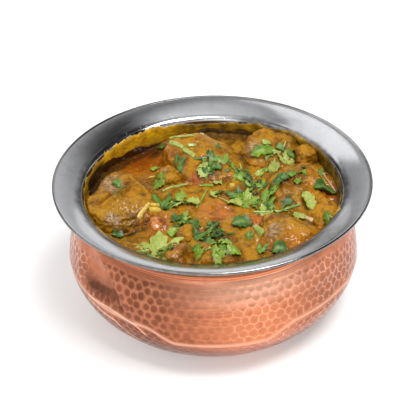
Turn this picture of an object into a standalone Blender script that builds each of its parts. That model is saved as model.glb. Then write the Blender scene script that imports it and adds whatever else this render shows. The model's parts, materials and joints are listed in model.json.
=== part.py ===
"""Mutton curry in a hammered copper serving bowl with a steel lining.

Metres, +Z up, origin at the centre of the base, front of the bowl towards -Y.
The bowl is two turned shells, a dented copper one around a steel one whose lip flares out.
The gravy fills the steel shell up to its own uneven level and is cut round the meat in it.
"""

import math

import bmesh
import bpy
from mathutils import Matrix, Vector, noise

# Bowl
HEIGHT = 0.066
RIM_RADIUS = 0.075
RIM_EDGE_RADIUS = 0.0008
LIP_TOP_DEPTH = 0.0004
LIP_DROP = 0.0048
LIP_CURVE = 1.35
LIP_BEND_RADIUS = 0.0622
NECK_RADIUS = 0.0603
NECK_DEPTH = 0.0105
THROAT_RADIUS = 0.0610
THROAT_DEPTH = 0.0071
LINING_WALL = 0.0008
LIP_WALL = 0.00092
LINING_BELLY_RADIUS = 0.0623
LINING_BELLY_DEPTH = 0.034
LINING_FLOOR_DEPTH = 0.0635
LINING_FLOOR_RADIUS = 0.040
COPPER_WALL = 0.0009
COPPER_TOP_DEPTH = 0.0092
COPPER_NECK_DEPTH = 0.0138
COPPER_SIDE_CURVE = 0.85
BEAD_DEPTH = 0.0122
BEAD_RADIUS = 0.0013
BELLY_RADIUS = 0.0691
RIDGE_DEPTH = 0.0395
BASE_RADIUS = 0.0522
UNDERSIDE_CURVE = 1.90

# The front of the belly stays full further down, so its ridge lies lower there
FRONT_ANGLE = math.radians(-88.0)
FRONT_HALF_WIDTH = math.radians(30.0)
FRONT_RIDGE_DEPTH = 0.0455
FRONT_UNDERSIDE_CURVE = 1.4

# The large dent at the front left, between two creases that meet at its lower right end
DENT_DEPTH = 0.0036
DENT_MIDDLE_ANGLE = math.radians(-130.0)
# Its right crease as (depth, distance to the right), its lower one as (distance to the right, depth)
DENT_RIGHT_CREASE = (
    (0.012, -0.024),
    (0.0175, -0.0165),
    (0.0213, -0.0075),
    (0.0273, -0.0005),
    (0.0369, 0.0095),
)
DENT_LOWER_CREASE = (
    (-0.040, 0.0440),
    (-0.0254, 0.0408),
    (-0.0184, 0.0386),
    (-0.0018, 0.0362),
    (0.0110, 0.0385),
)
DENT_CREASE_WIDTH = 0.0060
DENT_LEDGE_WIDTH = 0.0075
DENT_LEFT_END = -0.034
DENT_LEFT_FADE = 0.018
DENT_TOP = 0.0145
DENT_TOP_FADE = 0.012

# The shallow flat at the front right
FLAT_DEPTH = 0.0011
FLAT_ANGLE = math.radians(-44.0)
FLAT_HALF_WIDTH = math.radians(20.0)
FLAT_MIDDLE = 0.0345
FLAT_HALF_HEIGHT = 0.0085

# Food
TOUCH_GAP = 0.0003
GRAVY_WALL_DEPTH = 0.0150
GRAVY_HEAP = 0.0040
GRAVY_HEAP_CENTRE = (0.012, -0.006)
GRAVY_HEAP_RADIUS = 0.042
GRAVY_RIPPLE = 0.0007
GRAVY_RIPPLE_SCALE = 95.0
POOL_CENTRE = (-0.034, 0.040)
POOL_RADIUS = 0.015
POOL_DROP = 0.0030
FOOD_CLEARANCE = 0.0004
LUMP_SCALE = 1.7
LUMP_SPREAD = 60.0

# Mesh resolution
COPPER_SEGMENTS = 40
LINING_SEGMENTS = 40
LIP_STEPS = 4
GRAVY_RINGS = 5

COPPER = (0.62, 0.24, 0.13)
STEEL = (0.60, 0.60, 0.62)
GRAVY = (0.50, 0.22, 0.035)
MEAT = (0.46, 0.20, 0.045)
TOMATO = (0.62, 0.15, 0.05)


def smooth_step(low, high, value):
    """0 below low, 1 above high, with a smooth change between them."""
    share = min(max((value - low) / (high - low), 0.0), 1.0)
    return share * share * (3.0 - 2.0 * share)


def along(points, value):
    """The height of a line through points at value, straight between them."""
    if value <= points[0][0]:
        return points[0][1]
    for (start, low), (end, high) in zip(points, points[1:]):
        if value <= end:
            return low + (high - low) * (value - start) / (end - start)
    return points[-1][1]


def angle_between(angle, middle):
    """How far an angle is from middle, from -180 to 180 degrees, in radians."""
    return (angle - middle + math.pi) % (2.0 * math.pi) - math.pi


def underside(depth, ridge, curve):
    """Radius of the belly below its ridge."""
    if depth <= ridge:
        return BELLY_RADIUS
    share = (depth - ridge) / (HEIGHT - ridge)
    return BELLY_RADIUS - (BELLY_RADIUS - BASE_RADIUS) * share**curve


def fullness(angle, depth):
    """How much further out the front of the belly stands than the rest of it."""
    share = 1.0 - smooth_step(0.55, 1.0, abs(angle_between(angle, FRONT_ANGLE)) / FRONT_HALF_WIDTH)
    front = underside(depth, FRONT_RIDGE_DEPTH, FRONT_UNDERSIDE_CURVE)
    return share * (front - underside(depth, RIDGE_DEPTH, UNDERSIDE_CURVE))


def dent(angle, depth):
    """How far the large dent pushes the copper in."""
    side = angle_between(angle, DENT_MIDDLE_ANGLE) * BELLY_RADIUS
    from_right = along(DENT_RIGHT_CREASE, depth) - side
    from_below = along(DENT_LOWER_CREASE, side) - depth
    share = smooth_step(0.0, DENT_CREASE_WIDTH, from_right)
    share *= smooth_step(0.0, DENT_LEDGE_WIDTH, from_below)
    share *= smooth_step(DENT_LEFT_END, DENT_LEFT_END + DENT_LEFT_FADE, side)
    share *= smooth_step(DENT_TOP, DENT_TOP + DENT_TOP_FADE, depth)
    return DENT_DEPTH * share


def flat(angle, depth):
    """How far the shallow flat pushes the copper in."""
    across = abs(angle_between(angle, FLAT_ANGLE)) / FLAT_HALF_WIDTH
    down = abs(depth - FLAT_MIDDLE) / FLAT_HALF_HEIGHT
    return FLAT_DEPTH * (1.0 - smooth_step(0.3, 1.0, across)) * (1.0 - smooth_step(0.3, 1.0, down))


def finish(name, colour, roughness, metallic):
    """A material in one colour."""
    material = bpy.data.materials.new(name)
    material.use_nodes = True
    shader = material.node_tree.nodes["Principled BSDF"]
    shader.inputs["Base Color"].default_value = (*colour, 1.0)
    shader.inputs["Roughness"].default_value = roughness
    shader.inputs["Metallic"].default_value = metallic
    return material


def add_object(name, mesh, collection):
    """An object for the mesh in the collection."""
    made = bpy.data.objects.new(name, mesh)
    collection.objects.link(made)
    return made


def turned(name, profile, segments, collection):
    """The profile, (radius, height) points from the inside down the outside, turned round Z."""
    mesh = bpy.data.meshes.new(name)
    points = [(radius, 0.0, height) for radius, height in profile]
    edges = [(index, index + 1) for index in range(len(points) - 1)]
    mesh.from_pydata(points, edges, [])
    outline = add_object(name + "_outline", mesh, collection)
    screw = outline.modifiers.new("Turn", "SCREW")
    screw.steps = segments
    screw.render_steps = segments
    screw.use_merge_vertices = True
    screw.merge_threshold = 0.00001
    screw.use_smooth_shade = True
    graph = bpy.context.evaluated_depsgraph_get()
    turned_mesh = bpy.data.meshes.new_from_object(outline.evaluated_get(graph))
    bpy.data.objects.remove(outline)
    turned_mesh.name = name
    turned_mesh.set_sharp_from_angle(angle=math.radians(40.0))
    return add_object(name, turned_mesh, collection)


def arc(centre, radius, start, end, steps):
    """Points on an arc, by its angles in degrees."""
    points = []
    for step in range(steps + 1):
        angle = math.radians(start + (end - start) * step / steps)
        points.append((centre[0] + radius * math.cos(angle), centre[1] + radius * math.sin(angle)))
    return points


def lining_radius(depth):
    """Inner radius of the steel lining at a depth below the rim."""
    if depth <= LINING_BELLY_DEPTH:
        share = smooth_step(NECK_DEPTH, LINING_BELLY_DEPTH, depth)
        return NECK_RADIUS + (LINING_BELLY_RADIUS - NECK_RADIUS) * share
    share = min((depth - LINING_BELLY_DEPTH) / (LINING_FLOOR_DEPTH - LINING_BELLY_DEPTH), 1.0)
    across = LINING_BELLY_RADIUS - LINING_FLOOR_RADIUS
    return LINING_FLOOR_RADIUS + across * math.sqrt(1.0 - share * share)


def lip_depth(radius):
    """Depth of the lip's upper face below the rim, a flare that steepens towards the neck."""
    outer = RIM_RADIUS - RIM_EDGE_RADIUS
    share = (outer - radius) / (outer - LIP_BEND_RADIUS)
    return LIP_TOP_DEPTH + (LIP_DROP - LIP_TOP_DEPTH) * share**LIP_CURVE


def lining_rows():
    """Depths of the rings down the lining's inside, from the neck to the floor."""
    wall = [NECK_DEPTH, 0.022, LINING_BELLY_DEPTH, 0.050, 0.060]
    return [(lining_radius(depth), depth) for depth in wall] + [(LINING_FLOOR_RADIUS, LINING_FLOOR_DEPTH)]


def make_lining(collection):
    """The steel bowl: floor, wall, neck, flared lip and its rolled edge, 0.8 mm thick."""
    inside = [(0.0, HEIGHT - LINING_FLOOR_DEPTH)]
    inside += [(radius, HEIGHT - depth) for radius, depth in reversed(lining_rows())]
    inside.append((THROAT_RADIUS, HEIGHT - THROAT_DEPTH))
    lip = []
    for step in range(LIP_STEPS):
        radius = LIP_BEND_RADIUS + (RIM_RADIUS - RIM_EDGE_RADIUS - LIP_BEND_RADIUS) * step / LIP_STEPS
        lip.append((radius, HEIGHT - lip_depth(radius)))
    edge_centre = (RIM_RADIUS - RIM_EDGE_RADIUS, HEIGHT - RIM_EDGE_RADIUS)
    edge = arc(edge_centre, RIM_EDGE_RADIUS, 90.0, -90.0, 4)
    under = [(radius, height - LIP_WALL) for radius, height in (lip[2], lip[0])]
    outside = [(THROAT_RADIUS + 0.75 * LINING_WALL, HEIGHT - THROAT_DEPTH - 0.6 * LINING_WALL)]
    outside += [(radius + LINING_WALL, HEIGHT - depth) for radius, depth in lining_rows()[:-1]]
    outside.append((LINING_FLOOR_RADIUS, HEIGHT - LINING_FLOOR_DEPTH - LINING_WALL))
    outside.append((0.0, HEIGHT - LINING_FLOOR_DEPTH - LINING_WALL))
    profile = inside + lip + edge + under + outside
    lining = turned("steel_bowl", profile, LINING_SEGMENTS, collection)
    lining.data.materials.append(finish("satin steel", STEEL, 0.3, 1.0))
    return lining


def copper_radius(depth):
    """Outer radius of the copper before its dents, from the neck under the bead to the base."""
    if depth >= RIDGE_DEPTH:
        return underside(depth, RIDGE_DEPTH, UNDERSIDE_CURVE)
    neck = NECK_RADIUS + LINING_WALL + TOUCH_GAP + COPPER_WALL
    share = (depth - COPPER_NECK_DEPTH) / (RIDGE_DEPTH - COPPER_NECK_DEPTH)
    bulge = math.sin(0.5 * math.pi * min(max(share, 0.0), 1.0)) ** COPPER_SIDE_CURVE
    return neck + (BELLY_RADIUS - neck) * bulge


def make_copper(collection):
    """The copper shell: neck, bead, dented belly, ridge, underside and flat base."""
    wall_depths = [0.0143, 0.0175, 0.0215, 0.0255, 0.0295, 0.0330, 0.0365, RIDGE_DEPTH]
    under_depths = [0.0435, 0.0470, 0.0530, 0.0600]
    inner_depths = [0.0600, 0.0500, RIDGE_DEPTH, 0.0295, 0.0215, NECK_DEPTH]
    neck = copper_radius(NECK_DEPTH)
    base = [(BASE_RADIUS + 0.0006, 0.0005), (BASE_RADIUS - 0.0006, 0.0), (0.0, 0.0)]
    inside = [(0.0, COPPER_WALL), (BASE_RADIUS - 0.0030, COPPER_WALL)]
    for depth in inner_depths:
        wall = COPPER_WALL * (1.2 if depth > RIDGE_DEPTH else 1.0)
        inside.append((copper_radius(depth) - wall, HEIGHT - depth))
    top = HEIGHT - COPPER_TOP_DEPTH
    top_edge = [(neck - 0.5 * COPPER_WALL, top), (neck, top - 0.5 * COPPER_WALL)]
    bead = arc((neck, HEIGHT - BEAD_DEPTH), BEAD_RADIUS, 85.0, -75.0, 3)
    outside = [(copper_radius(depth), HEIGHT - depth) for depth in wall_depths + under_depths]
    profile = inside + top_edge + bead + outside + base
    copper = turned("copper_shell", profile, COPPER_SEGMENTS, collection)
    for vertex in copper.data.vertices:
        radius = math.hypot(vertex.co.x, vertex.co.y)
        depth = HEIGHT - vertex.co.z
        if radius < BASE_RADIUS + 0.001 or depth < DENT_TOP:
            continue
        angle = math.atan2(vertex.co.y, vertex.co.x)
        moved = radius + fullness(angle, depth) - dent(angle, depth) - flat(angle, depth)
        vertex.co.x *= moved / radius
        vertex.co.y *= moved / radius
    copper.data.materials.append(finish("hammered copper", COPPER, 0.3, 1.0))
    return copper


def gravy_height(x, y):
    """Height of the gravy: highest in the middle, lowest in the pool of oil behind on the left."""
    from_heap = math.hypot(x - GRAVY_HEAP_CENTRE[0], y - GRAVY_HEAP_CENTRE[1]) / GRAVY_HEAP_RADIUS
    from_pool = math.hypot(x - POOL_CENTRE[0], y - POOL_CENTRE[1]) / POOL_RADIUS
    level = HEIGHT - GRAVY_WALL_DEPTH
    level += GRAVY_HEAP * math.exp(-(from_heap**2)) - POOL_DROP * math.exp(-(from_pool**2))
    return level + GRAVY_RIPPLE * noise.noise(Vector((x, y, 0.0)) * GRAVY_RIPPLE_SCALE)


def make_gravy_body(collection):
    """The gravy before the meat is cut out of it."""
    level = HEIGHT - GRAVY_WALL_DEPTH
    reach = lining_radius(GRAVY_WALL_DEPTH) - TOUCH_GAP
    top = [(reach * ring / GRAVY_RINGS, level) for ring in range(GRAVY_RINGS + 1)]
    wall = [(radius - 2.0 * TOUCH_GAP, HEIGHT - depth) for radius, depth in lining_rows()[1:-1]]
    floor = HEIGHT - LINING_FLOOR_DEPTH + TOUCH_GAP
    profile = [*top, *wall, (LINING_FLOOR_RADIUS - 0.002, floor), (0.0, floor)]
    gravy = turned("gravy", profile, LINING_SEGMENTS, collection)
    for vertex in gravy.data.vertices:
        if abs(vertex.co.z - level) < 0.00001:
            vertex.co.z = gravy_height(vertex.co.x, vertex.co.y)
    gravy.data.materials.append(finish("gravy", GRAVY, 0.35, 0.0))
    return gravy


def facet_normal(azimuth, elevation):
    """The direction a facet faces, by its degrees round Z from +X and its degrees up."""
    turn = math.radians(azimuth)
    tilt = math.radians(elevation)
    return Vector((math.cos(tilt) * math.cos(turn), math.cos(tilt) * math.sin(turn), math.sin(tilt)))


def rounded_body(piece, grow):
    """The piece's closed shape about its middle: facets with rounded edges between them, and lumps."""
    shape = bmesh.new()
    bmesh.ops.create_uvsphere(shape, u_segments=piece.segments, v_segments=piece.rings, radius=1.0)
    planes = []
    for azimuth, elevation, distance in piece.facets:
        planes.append((facet_normal(azimuth, elevation), distance))
    for vertex in shape.verts:
        direction = vertex.co.normalized()
        total = 0.0
        for normal, distance in planes:
            total += (max(direction.dot(normal), 0.0) / distance) ** piece.crispness
        reach = total ** (-1.0 / piece.crispness)
        lump = noise.noise(direction * LUMP_SCALE + piece.middle * LUMP_SPREAD)
        vertex.co = direction * (reach * (1.0 + piece.lumps * lump) + grow)
    # The same diagonals in a piece and in its cutter keep the gap between them even
    bmesh.ops.triangulate(shape, faces=shape.faces, quad_method="FIXED")
    return shape


class Piece:
    """One piece of food: its middle, the facets that bound it and how crisp its edges are."""

    def __init__(self, name, place, facets, crispness, lumps=0.10, large=False, tomato=False):
        self.name = name
        self.middle = Vector((place[0], place[1], HEIGHT - place[2]))
        self.facets = facets
        self.crispness = crispness
        self.rings = 9 if large else 7
        self.segments = 14 if large else 11
        self.lumps = lumps
        self.tomato = tomato

    def mesh(self, name, grow=0.0):
        """The piece's own shape, grown by a gap where it is to be a cutter."""
        shape = rounded_body(self, grow)
        mesh = bpy.data.meshes.new(name)
        shape.to_mesh(mesh)
        shape.free()
        mesh.transform(Matrix.Translation(self.middle))
        mesh.shade_smooth()
        return mesh

    def reach(self):
        """The largest facet distance, a radius that the piece stays inside."""
        return max(distance for _, _, distance in self.facets) * 1.15


def block(half_x, half_y, up, down, turn=0.0, lean=0.0, lean_to=0.0):
    """The facets of a block whose sides face a little upwards, its top leaning towards lean_to."""
    sides = []
    for quarter in range(4):
        sides.append((turn + 90.0 * quarter, 8.0, half_y if quarter % 2 else half_x))
    return [*sides, (lean_to, 90.0 - lean, up), (0.0, -90.0, down)]


LEFT_FACETS = [
    (-22.0, 78.0, 0.0101),
    (158.0, 62.0, 0.0149),
    (180.0, 0.0, 0.0184),
    (111.0, 12.0, 0.0280),
    (46.0, 8.0, 0.0185),
    (-10.0, 0.0, 0.0196),
    (-66.0, -8.0, 0.0168),
    (-130.0, 0.0, 0.0200),
    (0.0, -90.0, 0.0120),
]
BACK_FACETS = [
    (-60.0, 80.0, 0.0104),
    (185.0, 10.0, 0.0215),
    (130.0, 12.0, 0.0225),
    (95.0, 15.0, 0.0220),
    (49.0, 18.0, 0.0178),
    (-5.0, 25.0, 0.0230),
    (-90.0, 25.0, 0.0180),
    (-140.0, 10.0, 0.0170),
    (0.0, -90.0, 0.0110),
]
RIGHT_FACETS = [
    (-70.0, 74.0, 0.0094),
    (130.0, 64.0, 0.0106),
    (0.0, 12.0, 0.0140),
    (180.0, 12.0, 0.0150),
    (90.0, 5.0, 0.0205),
    (-90.0, 10.0, 0.0180),
    (45.0, 10.0, 0.0175),
    (0.0, -90.0, 0.0100),
]
FRONT_RIGHT_FACETS = [
    (-100.0, 72.0, 0.0082),
    (60.0, 60.0, 0.0098),
    (5.0, 10.0, 0.0135),
    (175.0, 14.0, 0.0130),
    (90.0, 8.0, 0.0125),
    (-90.0, 8.0, 0.0135),
    (-40.0, 5.0, 0.0150),
    (0.0, -90.0, 0.0095),
]

KNOB_FACETS = block(0.0056, 0.0060, 0.0056, 0.0065, 30.0)
RIGHT_KNOB_FACETS = block(0.0055, 0.0055, 0.0056, 0.0060, 20.0)
BACK_RIGHT_FACETS = block(0.0140, 0.0125, 0.0082, 0.0085, -20.0, 12.0, -80.0)
RIGHT_EDGE_FACETS = block(0.0082, 0.0090, 0.0062, 0.0080, 30.0, 14.0, 200.0)
FRONT_FACETS = block(0.0125, 0.0090, 0.0078, 0.0090, 0.0, 6.0, -90.0)
FRONT_LEFT_FACETS = block(0.0062, 0.0084, 0.0074, 0.0080, -25.0)
MIDDLE_FACETS = block(0.0045, 0.0062, 0.0052, 0.0065, -15.0)
SCRAP_FACETS = block(0.0065, 0.0046, 0.0045, 0.0060, 15.0)
TOMATO_FACETS = block(0.0040, 0.0054, 0.0040, 0.0052, 20.0)

# Each piece as its name, its middle's x, y and depth, its facets and how crisp its edges are.
# In this order each one keeps its whole shape against those after it.
PIECES = [
    Piece("mutton_left", (-0.0430, -0.0060, 0.0165), LEFT_FACETS, 11.0, large=True),
    Piece("mutton_knob", (-0.0212, 0.0165, 0.0130), KNOB_FACETS, 4.0, lumps=0.2),
    Piece("mutton_back", (-0.0050, 0.0300, 0.0158), BACK_FACETS, 6.0, large=True),
    Piece("mutton_right_knob", (0.0462, 0.0320, 0.0110), RIGHT_KNOB_FACETS, 4.0, lumps=0.2),
    Piece("mutton_back_right", (0.0295, 0.0375, 0.0145), BACK_RIGHT_FACETS, 7.0),
    Piece("mutton_right", (0.0400, 0.0080, 0.0150), RIGHT_FACETS, 6.0, large=True),
    Piece("mutton_front_right", (0.0335, -0.0300, 0.0150), FRONT_RIGHT_FACETS, 7.0, large=True),
    Piece("mutton_right_edge", (0.0515, -0.0150, 0.0150), RIGHT_EDGE_FACETS, 7.0),
    Piece("mutton_front", (0.0015, -0.0450, 0.0165), FRONT_FACETS, 3.5),
    Piece("mutton_front_left", (-0.0165, -0.0440, 0.0155), FRONT_LEFT_FACETS, 4.0, lumps=0.18),
    Piece("mutton_middle", (-0.0130, -0.0285, 0.0140), MIDDLE_FACETS, 4.0, lumps=0.18),
    Piece("mutton_left_scrap", (-0.0340, -0.0400, 0.0155), SCRAP_FACETS, 4.0, lumps=0.16),
    Piece("tomato_piece", (-0.0262, -0.0188, 0.0150), TOMATO_FACETS, 4.0, tomato=True),
]


def add_boolean(target, operation, cutter, solver="EXACT"):
    """The target cut by, or kept within, the cutter."""
    modifier = target.modifiers.new(cutter.name, "BOOLEAN")
    modifier.operation = operation
    modifier.solver = solver
    modifier.object = cutter


def settle(target):
    """Makes the cut shape its own mesh, and drops the crumbs that the cuts part from it."""
    graph = bpy.context.evaluated_depsgraph_get()
    cut = bpy.data.meshes.new_from_object(target.evaluated_get(graph))
    target.modifiers.clear()
    target.data = cut
    shape = bmesh.new()
    shape.from_mesh(cut)
    waiting = set(shape.verts)
    bodies = []
    while waiting:
        body = [waiting.pop()]
        for vertex in body:
            for edge in vertex.link_edges:
                other = edge.other_vert(vertex)
                if other in waiting:
                    waiting.remove(other)
                    body.append(other)
        bodies.append(body)
    bodies.sort(key=len)
    crumbs = [vertex for body in bodies[:-1] for vertex in body]
    bmesh.ops.delete(shape, geom=crumbs, context="VERTS")
    shape.to_mesh(cut)
    shape.free()


def make_inside_space(cutters):
    """The space inside the lining that food may reach, as a guide that pieces are kept within."""
    depths = [0.0, NECK_DEPTH, 0.017, 0.025, LINING_BELLY_DEPTH]
    wall = [(lining_radius(depth) - FOOD_CLEARANCE, HEIGHT - depth) for depth in depths]
    profile = [(0.0, HEIGHT), *wall, (0.0, HEIGHT - LINING_BELLY_DEPTH)]
    return turned("inside_space", profile, LINING_SEGMENTS, cutters)


def hide_cutters(cutters):
    """Keeps guides and cutters out of the part."""
    for cutter in cutters.objects:
        cutter.hide_render = True
        cutter.display_type = "WIRE"


def make_food(parts, cutters):
    """The gravy and every piece in it, each cut back from its neighbours by the gap between them."""
    meat = finish("mutton", MEAT, 0.45, 0.0)
    tomato = finish("tomato", TOMATO, 0.35, 0.0)
    gravy = make_gravy_body(parts)
    space = make_inside_space(cutters)
    placed = []
    for piece in PIECES:
        made = add_object(piece.name, piece.mesh(piece.name), parts)
        made.data.materials.append(tomato if piece.tomato else meat)
        if math.hypot(piece.middle.x, piece.middle.y) + piece.reach() > NECK_RADIUS:
            add_boolean(made, "INTERSECT", space)
        for earlier, cutter in placed:
            if (earlier.middle - piece.middle).length < earlier.reach() + piece.reach():
                add_boolean(made, "DIFFERENCE", cutter)
        cutter_name = piece.name + "_room"
        cutter = add_object(cutter_name, piece.mesh(cutter_name, TOUCH_GAP * 1.2), cutters)
        placed.append((piece, cutter))
        # The exact solver loses the gravy's wall here
        add_boolean(gravy, "DIFFERENCE", cutter, "MANIFOLD")
        settle(made)
    settle(gravy)


def main():
    """Clears the scene and makes the filled bowl."""
    for old in list(bpy.data.objects):
        bpy.data.objects.remove(old)
    parts = bpy.data.collections.new("mutton_curry_bowl")
    cutters = bpy.data.collections.new("cutters")
    bpy.context.scene.collection.children.link(parts)
    bpy.context.scene.collection.children.link(cutters)
    make_copper(parts)
    make_lining(parts)
    make_food(parts, cutters)
    hide_cutters(cutters)


main()
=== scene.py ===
"""Mutton curry in a dented bowl of hammered copper, with a satin steel lining.

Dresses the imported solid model: each piece is made at its real place and size, in metres.
"""

import json
import math
import random

import bpy
import numpy as np
from mathutils import Matrix, Vector, noise
from mathutils.bvhtree import BVHTree

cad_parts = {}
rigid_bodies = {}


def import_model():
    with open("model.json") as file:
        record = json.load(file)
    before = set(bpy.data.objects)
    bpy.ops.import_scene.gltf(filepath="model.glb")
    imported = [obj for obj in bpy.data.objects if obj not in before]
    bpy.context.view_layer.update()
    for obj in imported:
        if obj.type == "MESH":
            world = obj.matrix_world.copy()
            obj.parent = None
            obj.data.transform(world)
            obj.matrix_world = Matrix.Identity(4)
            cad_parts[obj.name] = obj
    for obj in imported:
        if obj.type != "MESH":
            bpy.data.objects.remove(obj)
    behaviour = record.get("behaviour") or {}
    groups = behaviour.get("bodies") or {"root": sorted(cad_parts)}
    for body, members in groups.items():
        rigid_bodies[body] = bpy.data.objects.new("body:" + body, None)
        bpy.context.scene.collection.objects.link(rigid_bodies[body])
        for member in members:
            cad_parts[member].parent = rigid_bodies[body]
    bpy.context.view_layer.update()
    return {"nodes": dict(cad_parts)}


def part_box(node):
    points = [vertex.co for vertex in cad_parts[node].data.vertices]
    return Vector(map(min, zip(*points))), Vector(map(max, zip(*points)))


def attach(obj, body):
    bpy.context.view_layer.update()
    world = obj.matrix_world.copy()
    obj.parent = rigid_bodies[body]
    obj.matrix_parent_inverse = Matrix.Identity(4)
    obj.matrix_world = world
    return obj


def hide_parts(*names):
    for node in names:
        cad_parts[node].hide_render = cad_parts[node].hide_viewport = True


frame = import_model()

bl_info = {
    "name": "Mutton Curry Bowl",
    "version": (1, 0, 0),
    "blender": (4, 5, 0),
    "location": "View3D > Sidebar > Curry Bowl",
    "description": "Dresses the solid model of a copper bowl of mutton curry",
    "category": "Object",
}

# The bowl's form, as its solid model has it. Depths are below the rim
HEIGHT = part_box("steel_bowl")[1].z
RIM_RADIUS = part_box("steel_bowl")[1].x
RIM_EDGE_RADIUS = 0.0008
LIP_TOP_DEPTH = 0.0004
LIP_DROP = 0.0048
LIP_CURVE = 1.35
LIP_BEND_RADIUS = 0.0622
NECK_RADIUS = 0.0603
NECK_DEPTH = 0.0105
THROAT_RADIUS = 0.0610
THROAT_DEPTH = 0.0071
LINING_WALL = 0.0008
LIP_WALL = 0.00092
LINING_BELLY_RADIUS = 0.0623
LINING_BELLY_DEPTH = 0.034
LINING_FLOOR_DEPTH = 0.0635
LINING_FLOOR_RADIUS = 0.040
INNER_WALL_RADIUS = 0.0628
INNER_WALL_DEPTH = 0.024
COPPER_WALL = 0.0009
COPPER_TOP_DEPTH = 0.0092
COPPER_NECK_DEPTH = 0.0138
COPPER_SIDE_CURVE = 0.85
BEAD_DEPTH = 0.0122
BEAD_RADIUS = 0.0013
BELLY_RADIUS = 0.0691
RIDGE_DEPTH = 0.0395
BASE_RADIUS = 0.0522
UNDERSIDE_CURVE = 1.90
TOUCH_GAP = 0.0003
FRONT_ANGLE = math.radians(-88.0)
FRONT_HALF_WIDTH = math.radians(30.0)
FRONT_RIDGE_DEPTH = 0.0455
FRONT_UNDERSIDE_CURVE = 1.4

# The dent. Its right crease is (depth, distance right of its middle), its other lines the other way round
DENT_DEPTH = 0.0036
DENT_MIDDLE_ANGLE = math.radians(-130.0)
DENT_RIGHT_CREASE = (
    (0.012, -0.024),
    (0.0175, -0.0165),
    (0.0213, -0.0075),
    (0.0273, -0.0005),
    (0.0369, 0.0095),
)
DENT_LOWER_CREASE = (
    (-0.040, 0.0440),
    (-0.0254, 0.0408),
    (-0.0184, 0.0386),
    (-0.0018, 0.0362),
    (0.0110, 0.0385),
)
DENT_SCORES = (
    (
        (-0.0220, 0.0392),
        (-0.0127, 0.0384),
        (-0.0061, 0.0376),
        (0.0021, 0.0382),
        (0.0102, 0.0402),
        (0.0165, 0.0455),
    ),
    ((-0.0240, 0.0418), (-0.0120, 0.0430), (-0.0024, 0.0438), (0.0043, 0.0490), (0.0116, 0.0530)),
)
DENT_CREASE_WIDTH = 0.0060
DENT_LEDGE_WIDTH = 0.0075
DENT_LEFT_END = -0.034
DENT_LEFT_FADE = 0.018
DENT_TOP = 0.0145
DENT_TOP_FADE = 0.012
FLAT_DEPTH = 0.0011
FLAT_ANGLE = math.radians(-44.0)
FLAT_HALF_WIDTH = math.radians(20.0)
FLAT_MIDDLE = 0.0345
FLAT_HALF_HEIGHT = 0.0085

# How finely the pieces are made
COPPER_STEPS = 700
COPPER_SIDE_RINGS = 66
COPPER_UNDERSIDE_RINGS = 52
LINING_STEPS = 720
LIP_RINGS = 30
GRAVY_CELLS = 270
MEAT_VOXEL = 0.00048
TOMATO_VOXEL = 0.00034
MAP_CELLS = 260
MAP_SPAN = 0.128

# The gravy's level
GRAVY_WALL_DEPTH = 0.0150
GRAVY_HEAP = 0.0040
GRAVY_HEAP_CENTRE = (0.012, -0.006)
GRAVY_HEAP_RADIUS = 0.042
POOL_CENTRE = (-0.034, 0.040)
POOL_RADIUS = 0.015
POOL_DROP = 0.0030
GRAVY_REACH_INTO_WALL = 0.00025

# Where oil has gathered on the food: middle, radius and how strong
OIL_SPOTS = (
    (POOL_CENTRE, 0.0150, 1.0),
    ((0.0055, -0.0140), 0.0040, 0.9),
    ((0.0005, -0.0115), 0.0095, 0.50),
    ((-0.0075, 0.0143), 0.0035, 0.9),
    ((0.0200, -0.0200), 0.0045, 0.75),
    ((-0.0262, -0.0188), 0.0070, 0.7),
    ((-0.0165, -0.0455), 0.0055, 0.45),
    ((0.0560, 0.0050), 0.0090, 0.8),
    ((0.0380, -0.0400), 0.0055, 0.7),
)
# Painted shade on the gravy: how dark, middle, radius, length over width and turn in degrees
GRAVY_SHADE = (
    (1.0, (-0.0555, 0.0200), 0.0052, 3.6, 14.0),
    (0.95, (-0.0282, 0.0480), 0.0048, 1.9, -38.0),
    (0.55, POOL_CENTRE, 0.0120, 1.0, 0.0),
    (0.38, (-0.0315, 0.0190), 0.0075, 1.7, 30.0),
    (0.75, (-0.0340, -0.0235), 0.0022, 4.5, -62.0),
    (1.0, (-0.0385, -0.0256), 0.0016, 5.4, -63.0),
    (0.6, (0.0600, 0.0020), 0.0020, 9.0, 0.0),
    (0.5, (-0.0335, 0.0165), 0.0016, 5.5, 33.0),
    (0.7, (-0.0088, -0.0470), 0.0018, 2.4, 0.0),
)

MEAT_NODES = sorted(name for name in frame["nodes"] if name.startswith("mutton"))


def colour_setting(name, description, default):
    """A colour that the panel shows."""
    return bpy.props.FloatVectorProperty(
        name=name, description=description, subtype="COLOR", default=default
    )


class BowlSettings(bpy.types.PropertyGroup):
    """Sizes and colours of the bowl."""

    dimple_pitch: bpy.props.FloatProperty(
        name="Dimple pitch",
        description="Distance from one hammer mark to the next",
        default=0.00435,
        unit="LENGTH",
    )
    dimple_depth: bpy.props.FloatProperty(
        name="Dimple depth", description="Depth of a hammer mark", default=0.00026, unit="LENGTH"
    )
    copper: colour_setting("Copper", "Polished copper", (0.75, 0.255, 0.120))
    copper_shade: colour_setting(
        "Copper shade", "Tarnish in the hammer marks and dents", (0.27, 0.075, 0.035)
    )
    steel: colour_setting("Steel", "Satin steel", (0.590, 0.596, 0.612))


class CurrySettings(bpy.types.PropertyGroup):
    """Colours of the gravy, its oil and the meat."""

    gravy: colour_setting("Gravy", "Gravy in the light", (0.352, 0.176, 0.006))
    gravy_shade: colour_setting("Gravy shade", "Darker gravy", (0.125, 0.055, 0.002))
    oil: colour_setting("Oil", "Red oil on the gravy", (0.44, 0.095, 0.003))
    flesh: colour_setting("Flesh", "Bare torn meat", (0.36, 0.225, 0.105))
    smear: colour_setting("Smear", "Thin gravy on the steel", (0.72, 0.44, 0.006))


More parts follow.
